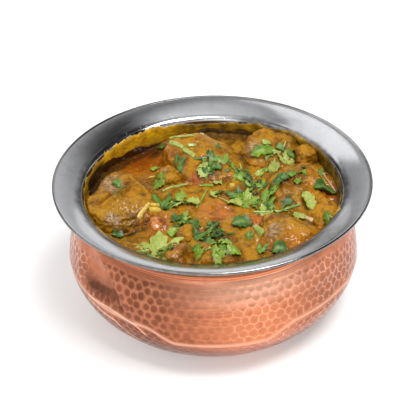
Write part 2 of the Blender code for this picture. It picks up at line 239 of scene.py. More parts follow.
class HerbSettings(bpy.types.PropertyGroup):
    """Colours and amount of the chopped coriander."""

    pale: colour_setting("Pale leaf", "Underside of a leaf", (0.36, 0.40, 0.085))
    bright: colour_setting("Bright leaf", "Young leaf", (0.17, 0.29, 0.012))
    deep: colour_setting("Deep leaf", "Upper side of a leaf", (0.050, 0.135, 0.016))
    dark: colour_setting("Dark leaf", "Wilted leaf", (0.014, 0.034, 0.006))
    seed: bpy.props.IntProperty(name="Seed", description="Picks the scatter of the herbs", default=7)


def ramp(low, high, value):
    """0 at low, 1 at high and level beyond them, with a smooth change between."""
    share = np.clip((value - low) / (high - low), 0.0, 1.0)
    return share * share * (3.0 - 2.0 * share)


def peak(value, middle, width, power=2):
    """1 at the middle, falling smoothly to 0 beyond width on each side."""
    return np.exp(-(np.abs((value - middle) / width) ** power))


def angle_between(angle, middle):
    """How far an angle is from middle, from -180 to 180 degrees, in radians."""
    return (angle - middle + math.pi) % (2.0 * math.pi) - math.pi


def facing(angle, degrees, width, power=2):
    """1 at an angle in degrees, falling to 0 beyond width, in radians."""
    return peak(angle_between(angle, math.radians(degrees)), 0.0, width, power)


def from_table(place, table):
    """The value at each place, straight between the table's (place, value) pairs."""
    return np.interp(place, *zip(*table))


def noise_at(points, scale, offset=0.0):
    """Smooth noise from about -1 to 1 at each point."""
    shift = Vector((offset, 0.7 * offset, -0.4 * offset))
    return np.array([noise.noise(Vector(point) * scale + shift) for point in points])


def read_points(obj, what="co"):
    """The object's points, or their normals, as an array."""
    found = np.empty(len(obj.data.vertices) * 3)
    obj.data.vertices.foreach_get(what, found)
    return found.reshape(-1, 3)


def move_to(obj, points):
    """Puts the object's points where the array says."""
    obj.data.vertices.foreach_set("co", np.ascontiguousarray(points, dtype=np.float32).ravel())
    obj.data.update()


def widen(obj, points, moved):
    """Moves each point out from Z by its own distance."""
    radius = np.hypot(points[:, 0], points[:, 1])
    points[:, :2] *= ((radius + moved) / np.maximum(radius, 0.0001))[:, None]
    move_to(obj, points)


def store(obj, name, values, least=0.0):
    """Keeps a number for each point, from least to 1, under a name that materials read."""
    layer = obj.data.attributes.new(name, "FLOAT", "POINT")
    layer.data.foreach_set("value", np.clip(values, least, 1.0).astype(np.float32))


def kept(obj, name):
    """The numbers that the object keeps under a name."""
    values = np.empty(len(obj.data.vertices), np.float32)
    obj.data.attributes[name].data.foreach_get("value", values)
    return values


def choose(obj):
    """Makes the object the only one selected."""
    bpy.ops.object.select_all(action="DESELECT")
    obj.select_set(True)
    bpy.context.view_layer.objects.active = obj


def finish_piece(obj, name, material, body="root"):
    """Names a new piece, gives it its finish and lets it ride on the body."""
    obj.name = name
    obj.data.name = name
    obj.data.materials.clear()
    obj.data.materials.append(material)
    choose(obj)
    bpy.ops.object.shade_smooth()
    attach(obj, body)
    return obj


def turned(profile, steps):
    """A line through (radius, height) points, spun round Z."""
    bpy.ops.object.select_all(action="DESELECT")
    bpy.ops.mesh.primitive_circle_add(vertices=len(profile), radius=0.01)
    obj = bpy.context.object
    for vertex, (radius, height) in zip(obj.data.vertices, profile):
        vertex.co = (radius, 0.0, height)
    ends = {0, len(profile) - 1}
    for item in (*obj.data.vertices, *obj.data.edges):
        item.select = False
    for edge in obj.data.edges:
        edge.select = set(edge.vertices) == ends
    bpy.ops.object.mode_set(mode="EDIT")
    bpy.ops.mesh.select_mode(type="EDGE")
    bpy.ops.mesh.delete(type="EDGE")
    bpy.ops.mesh.select_mode(type="VERT")
    bpy.ops.mesh.select_all(action="SELECT")
    bpy.ops.mesh.spin(steps=steps, angle=2.0 * math.pi, center=(0.0, 0.0, 0.0), axis=(0.0, 0.0, 1.0))
    bpy.ops.mesh.select_all(action="SELECT")
    bpy.ops.mesh.remove_doubles(threshold=0.000002)
    bpy.ops.mesh.normals_make_consistent(inside=False)
    bpy.ops.object.mode_set(mode="OBJECT")
    return obj


def extrude_rings(obj, rings):
    """In edit mode, extrudes the selected loop to each (radius, height) ring in turn."""
    for radius, height in rings:
        bpy.ops.mesh.extrude_edges_move()
        bpy.ops.object.mode_set(mode="OBJECT")
        for vertex in obj.data.vertices:
            if vertex.select:
                here = math.hypot(vertex.co.x, vertex.co.y)
                vertex.co.x *= radius / here
                vertex.co.y *= radius / here
                vertex.co.z = height
        bpy.ops.object.mode_set(mode="EDIT")


def arc(centre, radius, start, end, steps):
    """Points on an arc, by its angles in degrees."""
    turns = [math.radians(start + (end - start) * step / steps) for step in range(steps + 1)]
    return [(centre[0] + radius * math.cos(at), centre[1] + radius * math.sin(at)) for at in turns]


class Value:
    """A node's number or colour. Arithmetic with it adds Math nodes."""

    def __init__(self, graph, socket):
        self.graph = graph
        self.socket = socket

    def __add__(self, other):
        return self.graph.math("ADD", self, other)

    def __mul__(self, other):
        return self.graph.math("MULTIPLY", self, other)

    def __sub__(self, other):
        return self.graph.math("SUBTRACT", self, other)

    def __rsub__(self, other):
        return self.graph.math("SUBTRACT", other, self)


class Graph:
    """Adds nodes to the node tree of a material, a group or the world."""

    def __init__(self, tree):
        self.tree = tree

    def fill(self, node, inputs):
        """Sets each of the node's inputs to a number or colour, or links it to a Value."""
        for key, value in inputs.items():
            socket = node.inputs[key]
            if isinstance(value, Value):
                self.tree.links.new(value.socket, socket)
            else:
                socket.default_value = (*value, 1.0) if socket.type == "RGBA" else value

    def add(self, kind, inputs, output=0, **settings):
        """One output of a new node with these inputs and settings."""
        node = self.tree.nodes.new(kind)
        for key, value in settings.items():
            setattr(node, key, value)
        self.fill(node, inputs)
        return Value(self, node.outputs[output])

    def outputs(self, node):
        """All the node's outputs by name."""
        return {socket.name: Value(self, socket) for socket in node.outputs}

    def math(self, operation, first, second, clamp=False):
        """The result of a Math node."""
        return self.add("ShaderNodeMath", {0: first, 1: second}, operation=operation, use_clamp=clamp)

    def mix(self, share, first, second):
        """Two colours mixed by share."""
        return self.add("ShaderNodeMix", {0: share, 6: first, 7: second}, 2, data_type="RGBA")

    def layers(self, colour, *coats):
        """The colour under coats of (share, colour), laid on in turn."""
        for share, over in coats:
            colour = self.mix(share, colour, over)
        return colour

    def between(self, share, first, second):
        """Two numbers mixed by share."""
        return self.add("ShaderNodeMix", {0: share, 2: first, 3: second}, data_type="FLOAT")

    def step(self, value, low, high, start=0.0, end=1.0):
        """A smooth change from start to end as value goes from low to high."""
        inputs = {"Value": value, "From Min": low, "From Max": high, "To Min": start, "To Max": end}
        return self.add("ShaderNodeMapRange", inputs, interpolation_type="SMOOTHSTEP")

    def noise(self, place, scale, detail=2.0, distortion=0.0):
        """A Noise texture's value."""
        inputs = {"Vector": place, "Scale": scale, "Detail": detail, "Distortion": distortion}
        return self.add("ShaderNodeTexNoise", inputs)

    def cells(self, place, scale):
        """The distance that a Voronoi texture gives."""
        return self.add("ShaderNodeTexVoronoi", {"Vector": place, "Scale": scale}, "Distance")

    def place(self):
        """The point's place on the object."""
        return self.add("ShaderNodeTexCoord", {}, "Object")

    def stored(self, name):
        """A number that the mesh keeps for each point."""
        return self.add("ShaderNodeAttribute", {}, "Fac", attribute_name=name)

    def bump(self, height, distance):
        """A normal with the height's relief, distance deep."""
        return self.add("ShaderNodeBump", {"Height": height, "Distance": distance, "Strength": 1.0})

    def group(self, name, inputs):
        """A shared group's outputs. The group is built the first time that it is asked for."""
        node = self.tree.nodes.new("ShaderNodeGroup")
        node.node_tree = bpy.data.node_groups.get(name) or GROUPS[name](name)
        self.fill(node, inputs)
        return self.outputs(node)

    def give(self, results):
        """Makes the group's outputs from its results, and gives back the group."""
        for name, value in results.items():
            kind = "NodeSocketColor" if value.socket.type == "RGBA" else "NodeSocketFloat"
            self.tree.interface.new_socket(name=name, in_out="OUTPUT", socket_type=kind)
        self.fill(self.tree.nodes.new("NodeGroupOutput"), results)
        return self.tree


def new_material(name):
    """An empty material, its graph and its Principled shader."""
    material = bpy.data.materials.new(name)
    material.use_nodes = True
    return material, Graph(material.node_tree), material.node_tree.nodes["Principled BSDF"]


def new_group(name, inputs):
    """The graph of a new shader group, and its inputs by name."""
    tree = bpy.data.node_groups.new(name, "ShaderNodeTree")
    for label, default in inputs.items():
        kind = "NodeSocketFloat" if isinstance(default, float) else "NodeSocketColor"
        socket = tree.interface.new_socket(name=label, in_out="INPUT", socket_type=kind)
        socket.default_value = default
    graph = Graph(tree)
    return graph, graph.outputs(tree.nodes.new("NodeGroupInput"))


# The colour of gravy in deep shade, and how much of its radius light goes into food
DEEP_SHADE = (0.022, 0.008, 0.003)
SUBSURFACE_SCALE = 0.5


def curry_coat_group(name):
    """Gravy as thin or thick coat: its mottled colour, spice specks, grain, wetness and painted shade."""
    inputs = {
        "Colour": (0.5, 0.2, 0.02, 1.0),
        "Shade": (0.3, 0.1, 0.01, 1.0),
        "Oil Colour": (0.6, 0.1, 0.01, 1.0),
        "Oil": 0.0,
        "Depth": 0.0,
        "Grain": 1.0,
    }
    graph, given = new_group(name, inputs)
    oil = given["Oil"]
    place = graph.place()
    broad = graph.noise(place, 110.0, 3.0, 0.6)
    middle = graph.noise(place, 420.0, 3.0, 0.4)
    fine = graph.noise(place, 1500.0)
    colour = graph.layers(
        given["Shade"],
        (graph.step(broad + middle * 0.55, 0.58, 0.92), given["Colour"]),
        (graph.step(fine, 0.52, 0.75, 0.0, 0.30), (0.60, 0.34, 0.07)),
        (graph.step(graph.cells(place, 520.0), 0.10, 0.20, 0.55, 0.0), (0.10, 0.03, 0.006)),
        (oil * graph.step(middle, 0.30, 0.60, 0.55, 1.0), given["Oil Colour"]),
        # Painted shade: the Depth number darkens the coat towards deep shade
        (given["Depth"], DEEP_SHADE),
    )
    calm = graph.step(oil, 0.2, 0.9, 1.0, 0.15)
    wet_patches = graph.step(graph.noise(place, 260.0, 2.0, 0.3), 0.52, 0.66, 0.0, 0.9)
    return graph.give(
        {
            "Colour": colour,
            "Roughness": graph.step(oil, 0.0, 0.7, 0.36, 0.12)
            + graph.step(middle, 0.35, 0.75, -0.06, 0.16),
            "Height": (middle * 0.9 + fine * 0.5) * calm * given["Grain"],
            "Wet": graph.math("ADD", wet_patches, graph.step(oil, 0.1, 0.7), clamp=True),
        }
    )


def brushing_group(name):
    """Fine turned streaks round Z on metal, and cloudy patches of wear."""
    graph, given = new_group(name, {"Streaks": 4000.0, "Patches": 120.0})
    place = graph.place()
    x, y, z = graph.outputs(graph.add("ShaderNodeSeparateXYZ", {0: place}).socket.node).values()
    flat_place = graph.add("ShaderNodeCombineXYZ", {0: x, 1: y, 2: 0.0})
    radius = graph.add("ShaderNodeVectorMath", {0: flat_place}, "Value", operation="LENGTH")
    across = {0: radius * given["Streaks"], 1: z * given["Streaks"], 2: graph.math("ARCTAN2", y, x) * 6.0}
    streaks = graph.noise(graph.add("ShaderNodeCombineXYZ", across), 1.0)
    return graph.give({"Streak": streaks, "Patch": graph.noise(place, given["Patches"], 4.0, 0.5)})


GROUPS = {"Curry coat": curry_coat_group, "Turned brushing": brushing_group}


def coated(graph, colour, shade, oil, grain):
    """The gravy coat, with the oil and the painted shade that the mesh keeps."""
    inputs = {"Colour": colour, "Shade": shade, "Oil Colour": oil, "Grain": grain}
    return graph.group(
        "Curry coat", {**inputs, "Oil": graph.stored("oil"), "Depth": graph.stored("depth")}
    )


def copper_material(settings):
    """Hammered copper: tarnished in the marks, with tarnish and painted shade in the dent, painted shade on
    its sides and painted highlights on the net between marks, the ridge, the scored lines and the front.
    """
    material, graph, shader = new_material("hammered copper")
    brushing = graph.group("Turned brushing", {"Streaks": 1500.0, "Patches": 55.0})
    place = graph.place()
    clouds = graph.noise(place, 160.0, 4.0, 0.4)
    tarnish = graph.stored("hollow") * graph.step(brushing["Patch"], 0.35, 0.65, 0.35, 0.85)
    tarnish = graph.math("ADD", tarnish, graph.step(clouds, 0.52, 0.80, 0.0, 0.30), clamp=True)
    lines = graph.step(brushing["Streak"], 0.42, 0.66, 0.0, 0.45)
    colour = graph.layers(
        settings.copper,
        # Painted shade by angle and height, kept as cast
        (graph.stored("cast") * graph.step(clouds, 0.30, 0.70, 0.80, 1.0), (0.27, 0.098, 0.056)),
        (lines * graph.stored("worn"), settings.copper_shade),
        (tarnish, settings.copper_shade),
        # Painted shade in the dent's ledge, and tarnish in the marks on the left
        (graph.stored("grime"), (0.10, 0.035, 0.02)),
        # Painted highlight where crest says: net between marks, ridge, scored lines and a band at the front
        (graph.stored("crest"), (0.95, 0.52, 0.36)),
    )
    finish = {
        "Base Color": colour,
        "Metallic": 1.0,
        "Roughness": graph.step(clouds, 0.30, 0.75, 0.17, 0.30) + tarnish * 0.10,
        "Normal": graph.bump(brushing["Streak"] * 0.5 + graph.noise(place, 900.0, 3.0) * 0.5, 0.00003),
    }
    graph.fill(shader, finish)
    return material


def steel_material(bowl, curry):
    """Satin steel, with gravy smeared on the inner wall where the mesh says."""
    material, graph, shader = new_material("satin steel")
    brushing = graph.group("Turned brushing", {"Streaks": 3500.0, "Patches": 260.0})
    place = graph.place()
    ragged = graph.stored("smear") + (graph.noise(place, 1100.0, 3.0) - 0.5) * 0.9
    smeared = graph.step(ragged, 0.42, 0.56)
    coat = coated(graph, curry.smear, (0.46, 0.25, 0.004), curry.oil, 0.8)
    # Painted shade with some film, where the mesh says: the steel darkens on its lip and below the smears
    film_shade = graph.stored("film") * graph.step(brushing["Patch"], 0.25, 0.60, 0.80, 1.0)
    colour = graph.layers(
        bowl.steel,
        (graph.step(brushing["Patch"], 0.40, 0.75, 0.0, 0.25), (0.42, 0.42, 0.44)),
        (film_shade, (0.07, 0.06, 0.055)),
        (smeared, coat["Colour"]),
    )
    satin = graph.step(brushing["Streak"], 0.30, 0.70, 0.12, 0.19)
    specks = graph.step(graph.cells(place, 420.0), 0.05, 0.16, 1.0, 0.0) * graph.stored("specks")
    relief = graph.between(smeared, brushing["Streak"] * 0.035 + specks, coat["Height"])
    finish = {
        "Base Color": colour,
        "Metallic": 1.0 - smeared,
        "Roughness": graph.between(smeared, satin, coat["Roughness"]),
        "Normal": graph.bump(relief, 0.00012),
    }
    graph.fill(shader, finish)
    return material


def gravy_material(settings):
    """Thick gravy with oil lying on it."""
    material, graph, shader = new_material("curry gravy")
    coat = coated(graph, settings.gravy, settings.gravy_shade, settings.oil, 1.0)
    finish = {
        "Base Color": coat["Colour"],
        "Roughness": coat["Roughness"],
        "Specular IOR Level": 0.10,
        # The coat thins where the painted shade lies
        "Coat Weight": coat["Wet"] * 0.75 * (1.0 - graph.stored("depth")),
        "Coat Roughness": 0.07,
        "Subsurface Scale": SUBSURFACE_SCALE,
        "Subsurface Weight": 0.12,
        "Subsurface Radius": (0.004, 0.0015, 0.0005),
        "Normal": graph.bump(coat["Height"], 0.00028),
    }
    graph.fill(shader, finish)
    return material


def meat_material(settings):
    """Braised meat under gravy, bare and fibrous where the mesh says."""
    material, graph, shader = new_material("coated mutton")
    coat = coated(graph, settings.gravy, settings.gravy_shade, settings.oil, 0.8)
    place = graph.place()
    stretched = graph.add("ShaderNodeVectorMath", {0: place, 1: (0.35, 1.0, 1.0)}, operation="MULTIPLY")
    fibres = graph.noise(stretched, 1100.0, 3.0, 0.3)
    bare = graph.mix(graph.step(fibres, 0.38, 0.62), (0.17, 0.085, 0.030), settings.flesh)
    share = graph.step(graph.stored("bare") + (fibres - 0.5) * 0.7, 0.35, 0.75)
    glisten = graph.stored("glisten")
    beads = graph.noise(place, 750.0, 1.0) * (glisten * 2.4)
    wet = graph.math("MAXIMUM", coat["Wet"] * 0.65, glisten)
    finish = {
        "Base Color": graph.mix(share, coat["Colour"], bare),
        "Roughness": coat["Roughness"],
        "Specular IOR Level": 0.12,
        # The coat thins where the painted shade lies
        "Coat Weight": wet * (1.0 - graph.stored("depth")),
        "Coat Roughness": 0.10,
        "Subsurface Scale": SUBSURFACE_SCALE,
        "Subsurface Weight": 0.10,
        "Subsurface Radius": (0.004, 0.0018, 0.0008),
        "Normal": graph.bump(coat["Height"] + fibres * share * 1.2 + beads, 0.00026),
    }
    graph.fill(shader, finish)
    return material


def tinted_material(name, colours, roughness, coat, relief, grain):
    """A finish between several colours by the tone that each little piece keeps."""
    material, graph, shader = new_material(name)
    tinted = graph.add("ShaderNodeValToRGB", {0: graph.stored("tone")})
    bands = tinted.socket.node.color_ramp.elements
    bands[0].color = (*colours[0], 1.0)
    bands[1].color = (*colours[-1], 1.0)
    for index, colour in enumerate(colours[1:-1], 1):
        bands.new(index / (len(colours) - 1)).color = (*colour, 1.0)
    fine = graph.noise(graph.place(), grain, 3.0)
    shade = graph.step(fine, 0.30, 0.70, 0.70, 1.12)
    shaded = graph.add("ShaderNodeVectorMath", {0: tinted, "Scale": shade}, operation="SCALE")
    vein = graph.stored("vein")
    finish = {
        "Base Color": graph.mix(vein * 0.28, shaded, (0.50, 0.56, 0.20)),
        "Roughness": roughness,
        "Specular IOR Level": 0.3,
        "Coat Weight": coat,
        "Coat Roughness": 0.15,
        "Subsurface Scale": SUBSURFACE_SCALE,
        "Subsurface Weight": 0.15,
        "Subsurface Radius": (0.001, 0.002, 0.0005),
        "Normal": graph.bump(fine + vein * -0.8, relief),
    }
    graph.fill(shader, finish)
    return material


def underside(depth, ridge, curve):
    """Radius of the belly below its ridge."""
    share = np.clip((depth - ridge) / (HEIGHT - ridge), 0.0, 1.0)
    return BELLY_RADIUS - (BELLY_RADIUS - BASE_RADIUS) * share**curve


def in_front(angle):
    """1 on the full front of the belly, 0 on the rest of it."""
    return 1.0 - ramp(0.55, 1.0, np.abs(angle_between(angle, FRONT_ANGLE)) / FRONT_HALF_WIDTH)


def fullness(angle, depth):
    """How much further out the front of the belly stands than the rest of it."""
    front = underside(depth, FRONT_RIDGE_DEPTH, FRONT_UNDERSIDE_CURVE)
    return in_front(angle) * (front - underside(depth, RIDGE_DEPTH, UNDERSIDE_CURVE))


def beside_dent(angle):
    """How far right of the dent's middle each angle is, along the belly."""
    return angle_between(angle, DENT_MIDDLE_ANGLE) * BELLY_RADIUS


def dent(angle, depth):
    """How far the large dent pushes the copper in."""
    side = beside_dent(angle)
    share = ramp(0.0, DENT_CREASE_WIDTH, from_table(depth, DENT_RIGHT_CREASE) - side)
    share = share * ramp(0.0, DENT_LEDGE_WIDTH, from_table(side, DENT_LOWER_CREASE) - depth)
    share = share * ramp(DENT_LEFT_END, DENT_LEFT_END + DENT_LEFT_FADE, side)
    return DENT_DEPTH * share * ramp(DENT_TOP, DENT_TOP + DENT_TOP_FADE, depth)


def flat(angle, depth):
    """How far the shallow flat at the front right pushes the copper in."""
    across = np.abs(angle_between(angle, FLAT_ANGLE)) / FLAT_HALF_WIDTH
    down = np.abs(depth - FLAT_MIDDLE) / FLAT_HALF_HEIGHT
    return FLAT_DEPTH * (1.0 - ramp(0.3, 1.0, across)) * (1.0 - ramp(0.3, 1.0, down))


def copper_radius(depth):
    """Outer radius of the copper before its dents, from the neck under the bead to the base."""
    if depth >= RIDGE_DEPTH:
        return float(underside(depth, RIDGE_DEPTH, UNDERSIDE_CURVE))
    neck = NECK_RADIUS + LINING_WALL + TOUCH_GAP + COPPER_WALL
    share = (depth - COPPER_NECK_DEPTH) / (RIDGE_DEPTH - COPPER_NECK_DEPTH)
    bulge = math.sin(0.5 * math.pi * min(max(share, 0.0), 1.0)) ** COPPER_SIDE_CURVE
    return neck + (BELLY_RADIUS - neck) * bulge


def lining_radius(depth):
    """Inner radius of the steel lining."""
    if depth <= LINING_BELLY_DEPTH:
        share = float(ramp(NECK_DEPTH, LINING_BELLY_DEPTH, depth))
        return NECK_RADIUS + (LINING_BELLY_RADIUS - NECK_RADIUS) * share
    share = min((depth - LINING_BELLY_DEPTH) / (LINING_FLOOR_DEPTH - LINING_BELLY_DEPTH), 1.0)
    across = LINING_BELLY_RADIUS - LINING_FLOOR_RADIUS
    return LINING_FLOOR_RADIUS + across * math.sqrt(1.0 - share * share)


def lip_point(share, below=0.0):
    """Radius and height of the lip's upper face, from its bend at 0 to its edge at 1."""
    outer = RIM_RADIUS - RIM_EDGE_RADIUS
    radius = LIP_BEND_RADIUS + (outer - LIP_BEND_RADIUS) * share
    inward = (outer - radius) / (outer - LIP_BEND_RADIUS)
    return radius, HEIGHT - LIP_TOP_DEPTH - (LIP_DROP - LIP_TOP_DEPTH) * inward**LIP_CURVE - below


# Hammer marks: the spacing of their rows, as a share of the pitch, and how far each is off its place and size
MARK_ROW_SPACING = 0.87
MARK_ROWS = 40
MARK_JITTER = 0.16
MARK_SIZES = (0.86, 1.12)
MARK_SEED = 11


def hammer_marks(angle, travel, pitch):
    """How hollow each point is, 1 in the middle of a mark, and 1 on the net between marks.

    The marks lie in offset rows round the bowl, travel metres down its wall, each a little off its place.
    """
    count = int(round(2.0 * math.pi * BELLY_RADIUS / pitch))
    step = 2.0 * math.pi * BELLY_RADIUS / count
    row_step = step * MARK_ROW_SPACING
    chance = np.random.default_rng(MARK_SEED)
    jitter = chance.uniform(-MARK_JITTER, MARK_JITTER, (MARK_ROWS, count, 2)) * step
    sizes = chance.uniform(*MARK_SIZES, (MARK_ROWS, count))
    across = np.mod(angle, 2.0 * math.pi) * BELLY_RADIUS
    row = np.floor(travel / row_step + 0.5).astype(int)
    nearest = np.full(angle.shape, 9.0)
    second = np.full(angle.shape, 9.0)
    for here in (row - 1, row, row + 1):
        index = np.mod(here, MARK_ROWS)
        shift = 0.5 * np.mod(here, 2)
        column = np.floor(across / step - shift + 0.5).astype(int)
        for there in (column - 1, column, column + 1):
            wrapped = np.mod(there, count)
            beside = across - (there + shift) * step - jitter[index, wrapped, 0]
            below = travel - here * row_step - jitter[index, wrapped, 1]
            reach = np.hypot(beside, below) / (0.5 * step * sizes[index, wrapped])
            second = np.minimum(second, np.maximum(nearest, reach))
            nearest = np.minimum(nearest, reach)
    net = peak(second, nearest, 0.16) * ramp(0.5, 0.9, nearest)
    return np.clip(1.0 - nearest**2, 0.0, 1.0), net


# By angle in degrees, 0 at the right and -90 in front: how dark the tarnish in the marks is, most
# beside the dent and least on the worn front
MARK_DARKNESS = (
    (-180, 0.75), (-150, 0.80), (-132, 1.00), (-112, 0.95), (-103, 0.25), (-82, 0.15), (-70, 0.45),
    (-45, 0.62), (0, 0.60), (120, 0.60), (180, 0.75),
)
# Painted shade: how far the copper's colour is darkened, by angle, least on the front
COPPER_PAINTED_SHADE = (
    (-180, 0.85), (-158, 0.96), (-143, 0.82), (-128, 0.90), (-113, 0.85), (-103, 0.74), (-98, 0.62),
    (-88, 0.32), (-73, 0.15), (-66, 0.22), (-58, 0.48), (-50, 0.72), (-43, 0.88), (-23, 0.94),
    (30, 0.75), (90, 0.75), (180, 0.85),
)


class CURRY_OT_copper_shell(bpy.types.Operator):
    """Copper shell with its bead, hammer marks, ridge and dents"""

    bl_idname = "curry.copper_shell"
    bl_label = "Copper Shell"

    def execute(self, context):
        settings = context.scene.curry_bowl
        wall = list(np.linspace(0.0140, RIDGE_DEPTH, COPPER_SIDE_RINGS, endpoint=False))
        shares = np.linspace(0.0, 1.0, COPPER_UNDERSIDE_RINGS) ** 0.92
        wall += list(RIDGE_DEPTH + (HEIGHT - 0.0006 - RIDGE_DEPTH) * shares)
        obj = turned(self.profile(wall), COPPER_STEPS)
        points = read_points(obj)
        radius = np.hypot(points[:, 0], points[:, 1])
        angle = np.arctan2(points[:, 1], points[:, 0])
        depth = HEIGHT - points[:, 2]
        outer_wall = np.interp(depth, wall, [copper_radius(at) for at in wall])
        is_outside = (np.abs(radius - outer_wall) < 0.0002) & (depth > 0.0138) & (depth < HEIGHT - 0.0001)
        is_wall = (radius > BASE_RADIUS - 0.0035) & (depth > DENT_TOP)
        ridge = RIDGE_DEPTH + (FRONT_RIDGE_DEPTH - RIDGE_DEPTH) * in_front(angle)
        pushed = dent(angle, depth) + flat(angle, depth)
        moved = np.where(is_wall, fullness(angle, depth) - pushed, 0.0)

        from_front = np.abs(angle_between(angle, FRONT_ANGLE))
        top_of_marks = 0.0165 + 0.0050 * ramp(0.75, 1.25, from_front)
        travel = depth - 0.0175 + 0.45 * np.maximum(depth - ridge, 0.0)
        bowl, net = hammer_marks(angle, travel, settings.dimple_pitch)
        in_dent = ramp(0.0004, 0.0020, dent(angle, depth))
        marked = ramp(0.0, 0.0012, depth - top_of_marks) * ramp(0.0009, 0.0019, np.abs(depth - ridge))
        marked = marked * (1.0 - ramp(HEIGHT - 0.0050, HEIGHT - 0.0030, depth)) * (1.0 - 0.85 * in_dent)
        wear = np.ones(len(points))
        wear[is_outside] = 0.80 + 0.45 * noise_at(np.round(points[is_outside], 4), 38.0, 3.0)
        front = facing(angle, -97.0, 0.27, 4)
        wear = np.clip(wear - 0.80 * front, 0.12, 1.1)
        wavy = np.zeros(len(points))
        wavy[is_outside] = 0.00022 * noise_at(points[is_outside], 75.0, 9.0)
        crest = peak(depth, ridge, 0.0009) * (1.0 - in_dent)
        grooves = self.grooves(angle, depth)
        wrinkles = 0.00020 * np.abs(noise_at(points * (1.0, 1.0, 0.25), 900.0, 2.0)) * in_dent
        relief = wavy - settings.dimple_depth * marked * wear * bowl
        relief = relief + 0.00030 * crest + 0.00045 * grooves - wrinkles
        widen(obj, points, moved + np.where(is_outside, relief, 0.0))

        left = facing(angle, -118.0, 0.40)
        spots = bowl**0.6 * (1.0 - left) + 1.15 * ramp(0.20, 0.75, bowl) * left
        degrees = np.degrees(angle_between(angle, 0.0))
        hollow = np.where(is_outside, spots * marked * from_table(degrees, MARK_DARKNESS), 0.0)
        rings = peak(depth, 0.0142, 0.0007) + 0.5 * peak(depth, 0.0158, 0.0004)
        store(obj, "hollow", hollow + 0.25 * rings * (depth < 0.018))
        # Painted highlight, kept as crest: lightens the net between marks, which is partly polish, the ridge,
        # the scored lines and a band at the front
        bright = 0.62 * net * marked * np.clip(wear, 0.0, 1.0) * (1.0 - 0.70 * left)
        bright = bright + 0.6 * crest + 0.9 * grooves
        bright = bright + 0.62 * facing(angle, -75.0, 0.40) * ramp(0.0300, 0.0190, depth)
        store(obj, "crest", bright * is_outside)
        # Painted shade in the dent's ledge, and darker tarnished marks on the left
        in_ledge = in_dent * ramp(-0.004, 0.006, depth - 0.0300)
        grime = 0.85 * in_ledge * (1.0 - grooves) + 0.42 * spots * left * marked * is_outside
        store(obj, "grime", grime)
        # Painted shade: the copper darkens on its sides and lower down, and least on the front
        painted_shade = from_table(degrees, COPPER_PAINTED_SHADE) * (0.78 + 0.22 * ramp(0.0150, 0.0330, depth))
        store(obj, "cast", painted_shade)
        store(obj, "worn", front * is_outside)
        finish_piece(obj, "hammered_copper", copper_material(settings))
        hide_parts("copper_shell")
        return {"FINISHED"}

    def profile(self, wall):
        """The shell's section, from the middle of its floor up, over the bead and down to its base."""
        neck = copper_radius(NECK_DEPTH)
        top = HEIGHT - COPPER_TOP_DEPTH
        inside = [(0.0, COPPER_WALL), (BASE_RADIUS - 0.0030, COPPER_WALL)]
        for depth in (0.0600, 0.0500, RIDGE_DEPTH, 0.0295, 0.0215, NECK_DEPTH):
            thickness = COPPER_WALL * (1.2 if depth > RIDGE_DEPTH else 1.0)
            inside.append((copper_radius(depth) - thickness, HEIGHT - depth))
        edge = [(neck - 0.5 * COPPER_WALL, top), (neck, top - 0.5 * COPPER_WALL)]
        bead = arc((neck, HEIGHT - BEAD_DEPTH), BEAD_RADIUS, 85.0, -70.0, 7)
        outside = [(copper_radius(depth), HEIGHT - depth) for depth in wall]
        return inside + edge + bead + outside + [(BASE_RADIUS - 0.0004, 0.0), (0.0, 0.0)]

    def grooves(self, angle, depth):
        """Two scored lines below the dent, which the colour lightens with a painted highlight, 1 in the
        middle of each.
        """
        side = beside_dent(angle)
        total = np.zeros(side.shape)
        for line in DENT_SCORES:
            start, end = line[0][0], line[-1][0]
            ends = ramp(start, start + 0.004, side) * (1.0 - ramp(end - 0.002, end, side))
            total = np.maximum(total, peak(depth, from_table(side, line), 0.00060) * ends)
        return total


# Where the painted shade on the lip ends, and where the smears on the wall start and end, by angle
LIP_SHADE_END = (
    (-180, 0.0642), (-150, 0.0655), (-60, 0.0650), (0, 0.0644), (18, 0.0626), (70, 0.0630),
    (82, 0.0612), (112, 0.0612), (124, 0.0640), (160, 0.0640), (180, 0.0638),
)
SMEAR_TOP = (
    (-180, 0.0064), (-165, 0.0055), (-145, 0.0052), (-130, 0.0066), (-100, 0.0090), (-40, 0.0080),
    (-22, 0.0055), (0, 0.0062), (30, 0.0056), (60, 0.0058), (85, 0.0075), (100, 0.0078),
    (120, 0.0056), (150, 0.0062), (180, 0.0064),
)
SMEAR_END = (
    (-180, 0.030), (62, 0.030), (70, 0.0118), (92, 0.0112), (104, 0.0140), (116, 0.0152),
    (121, 0.0154), (126, 0.0144), (132, 0.0134), (142, 0.0130), (148, 0.0118), (158, 0.0110),
    (166, 0.030), (180, 0.030),
)


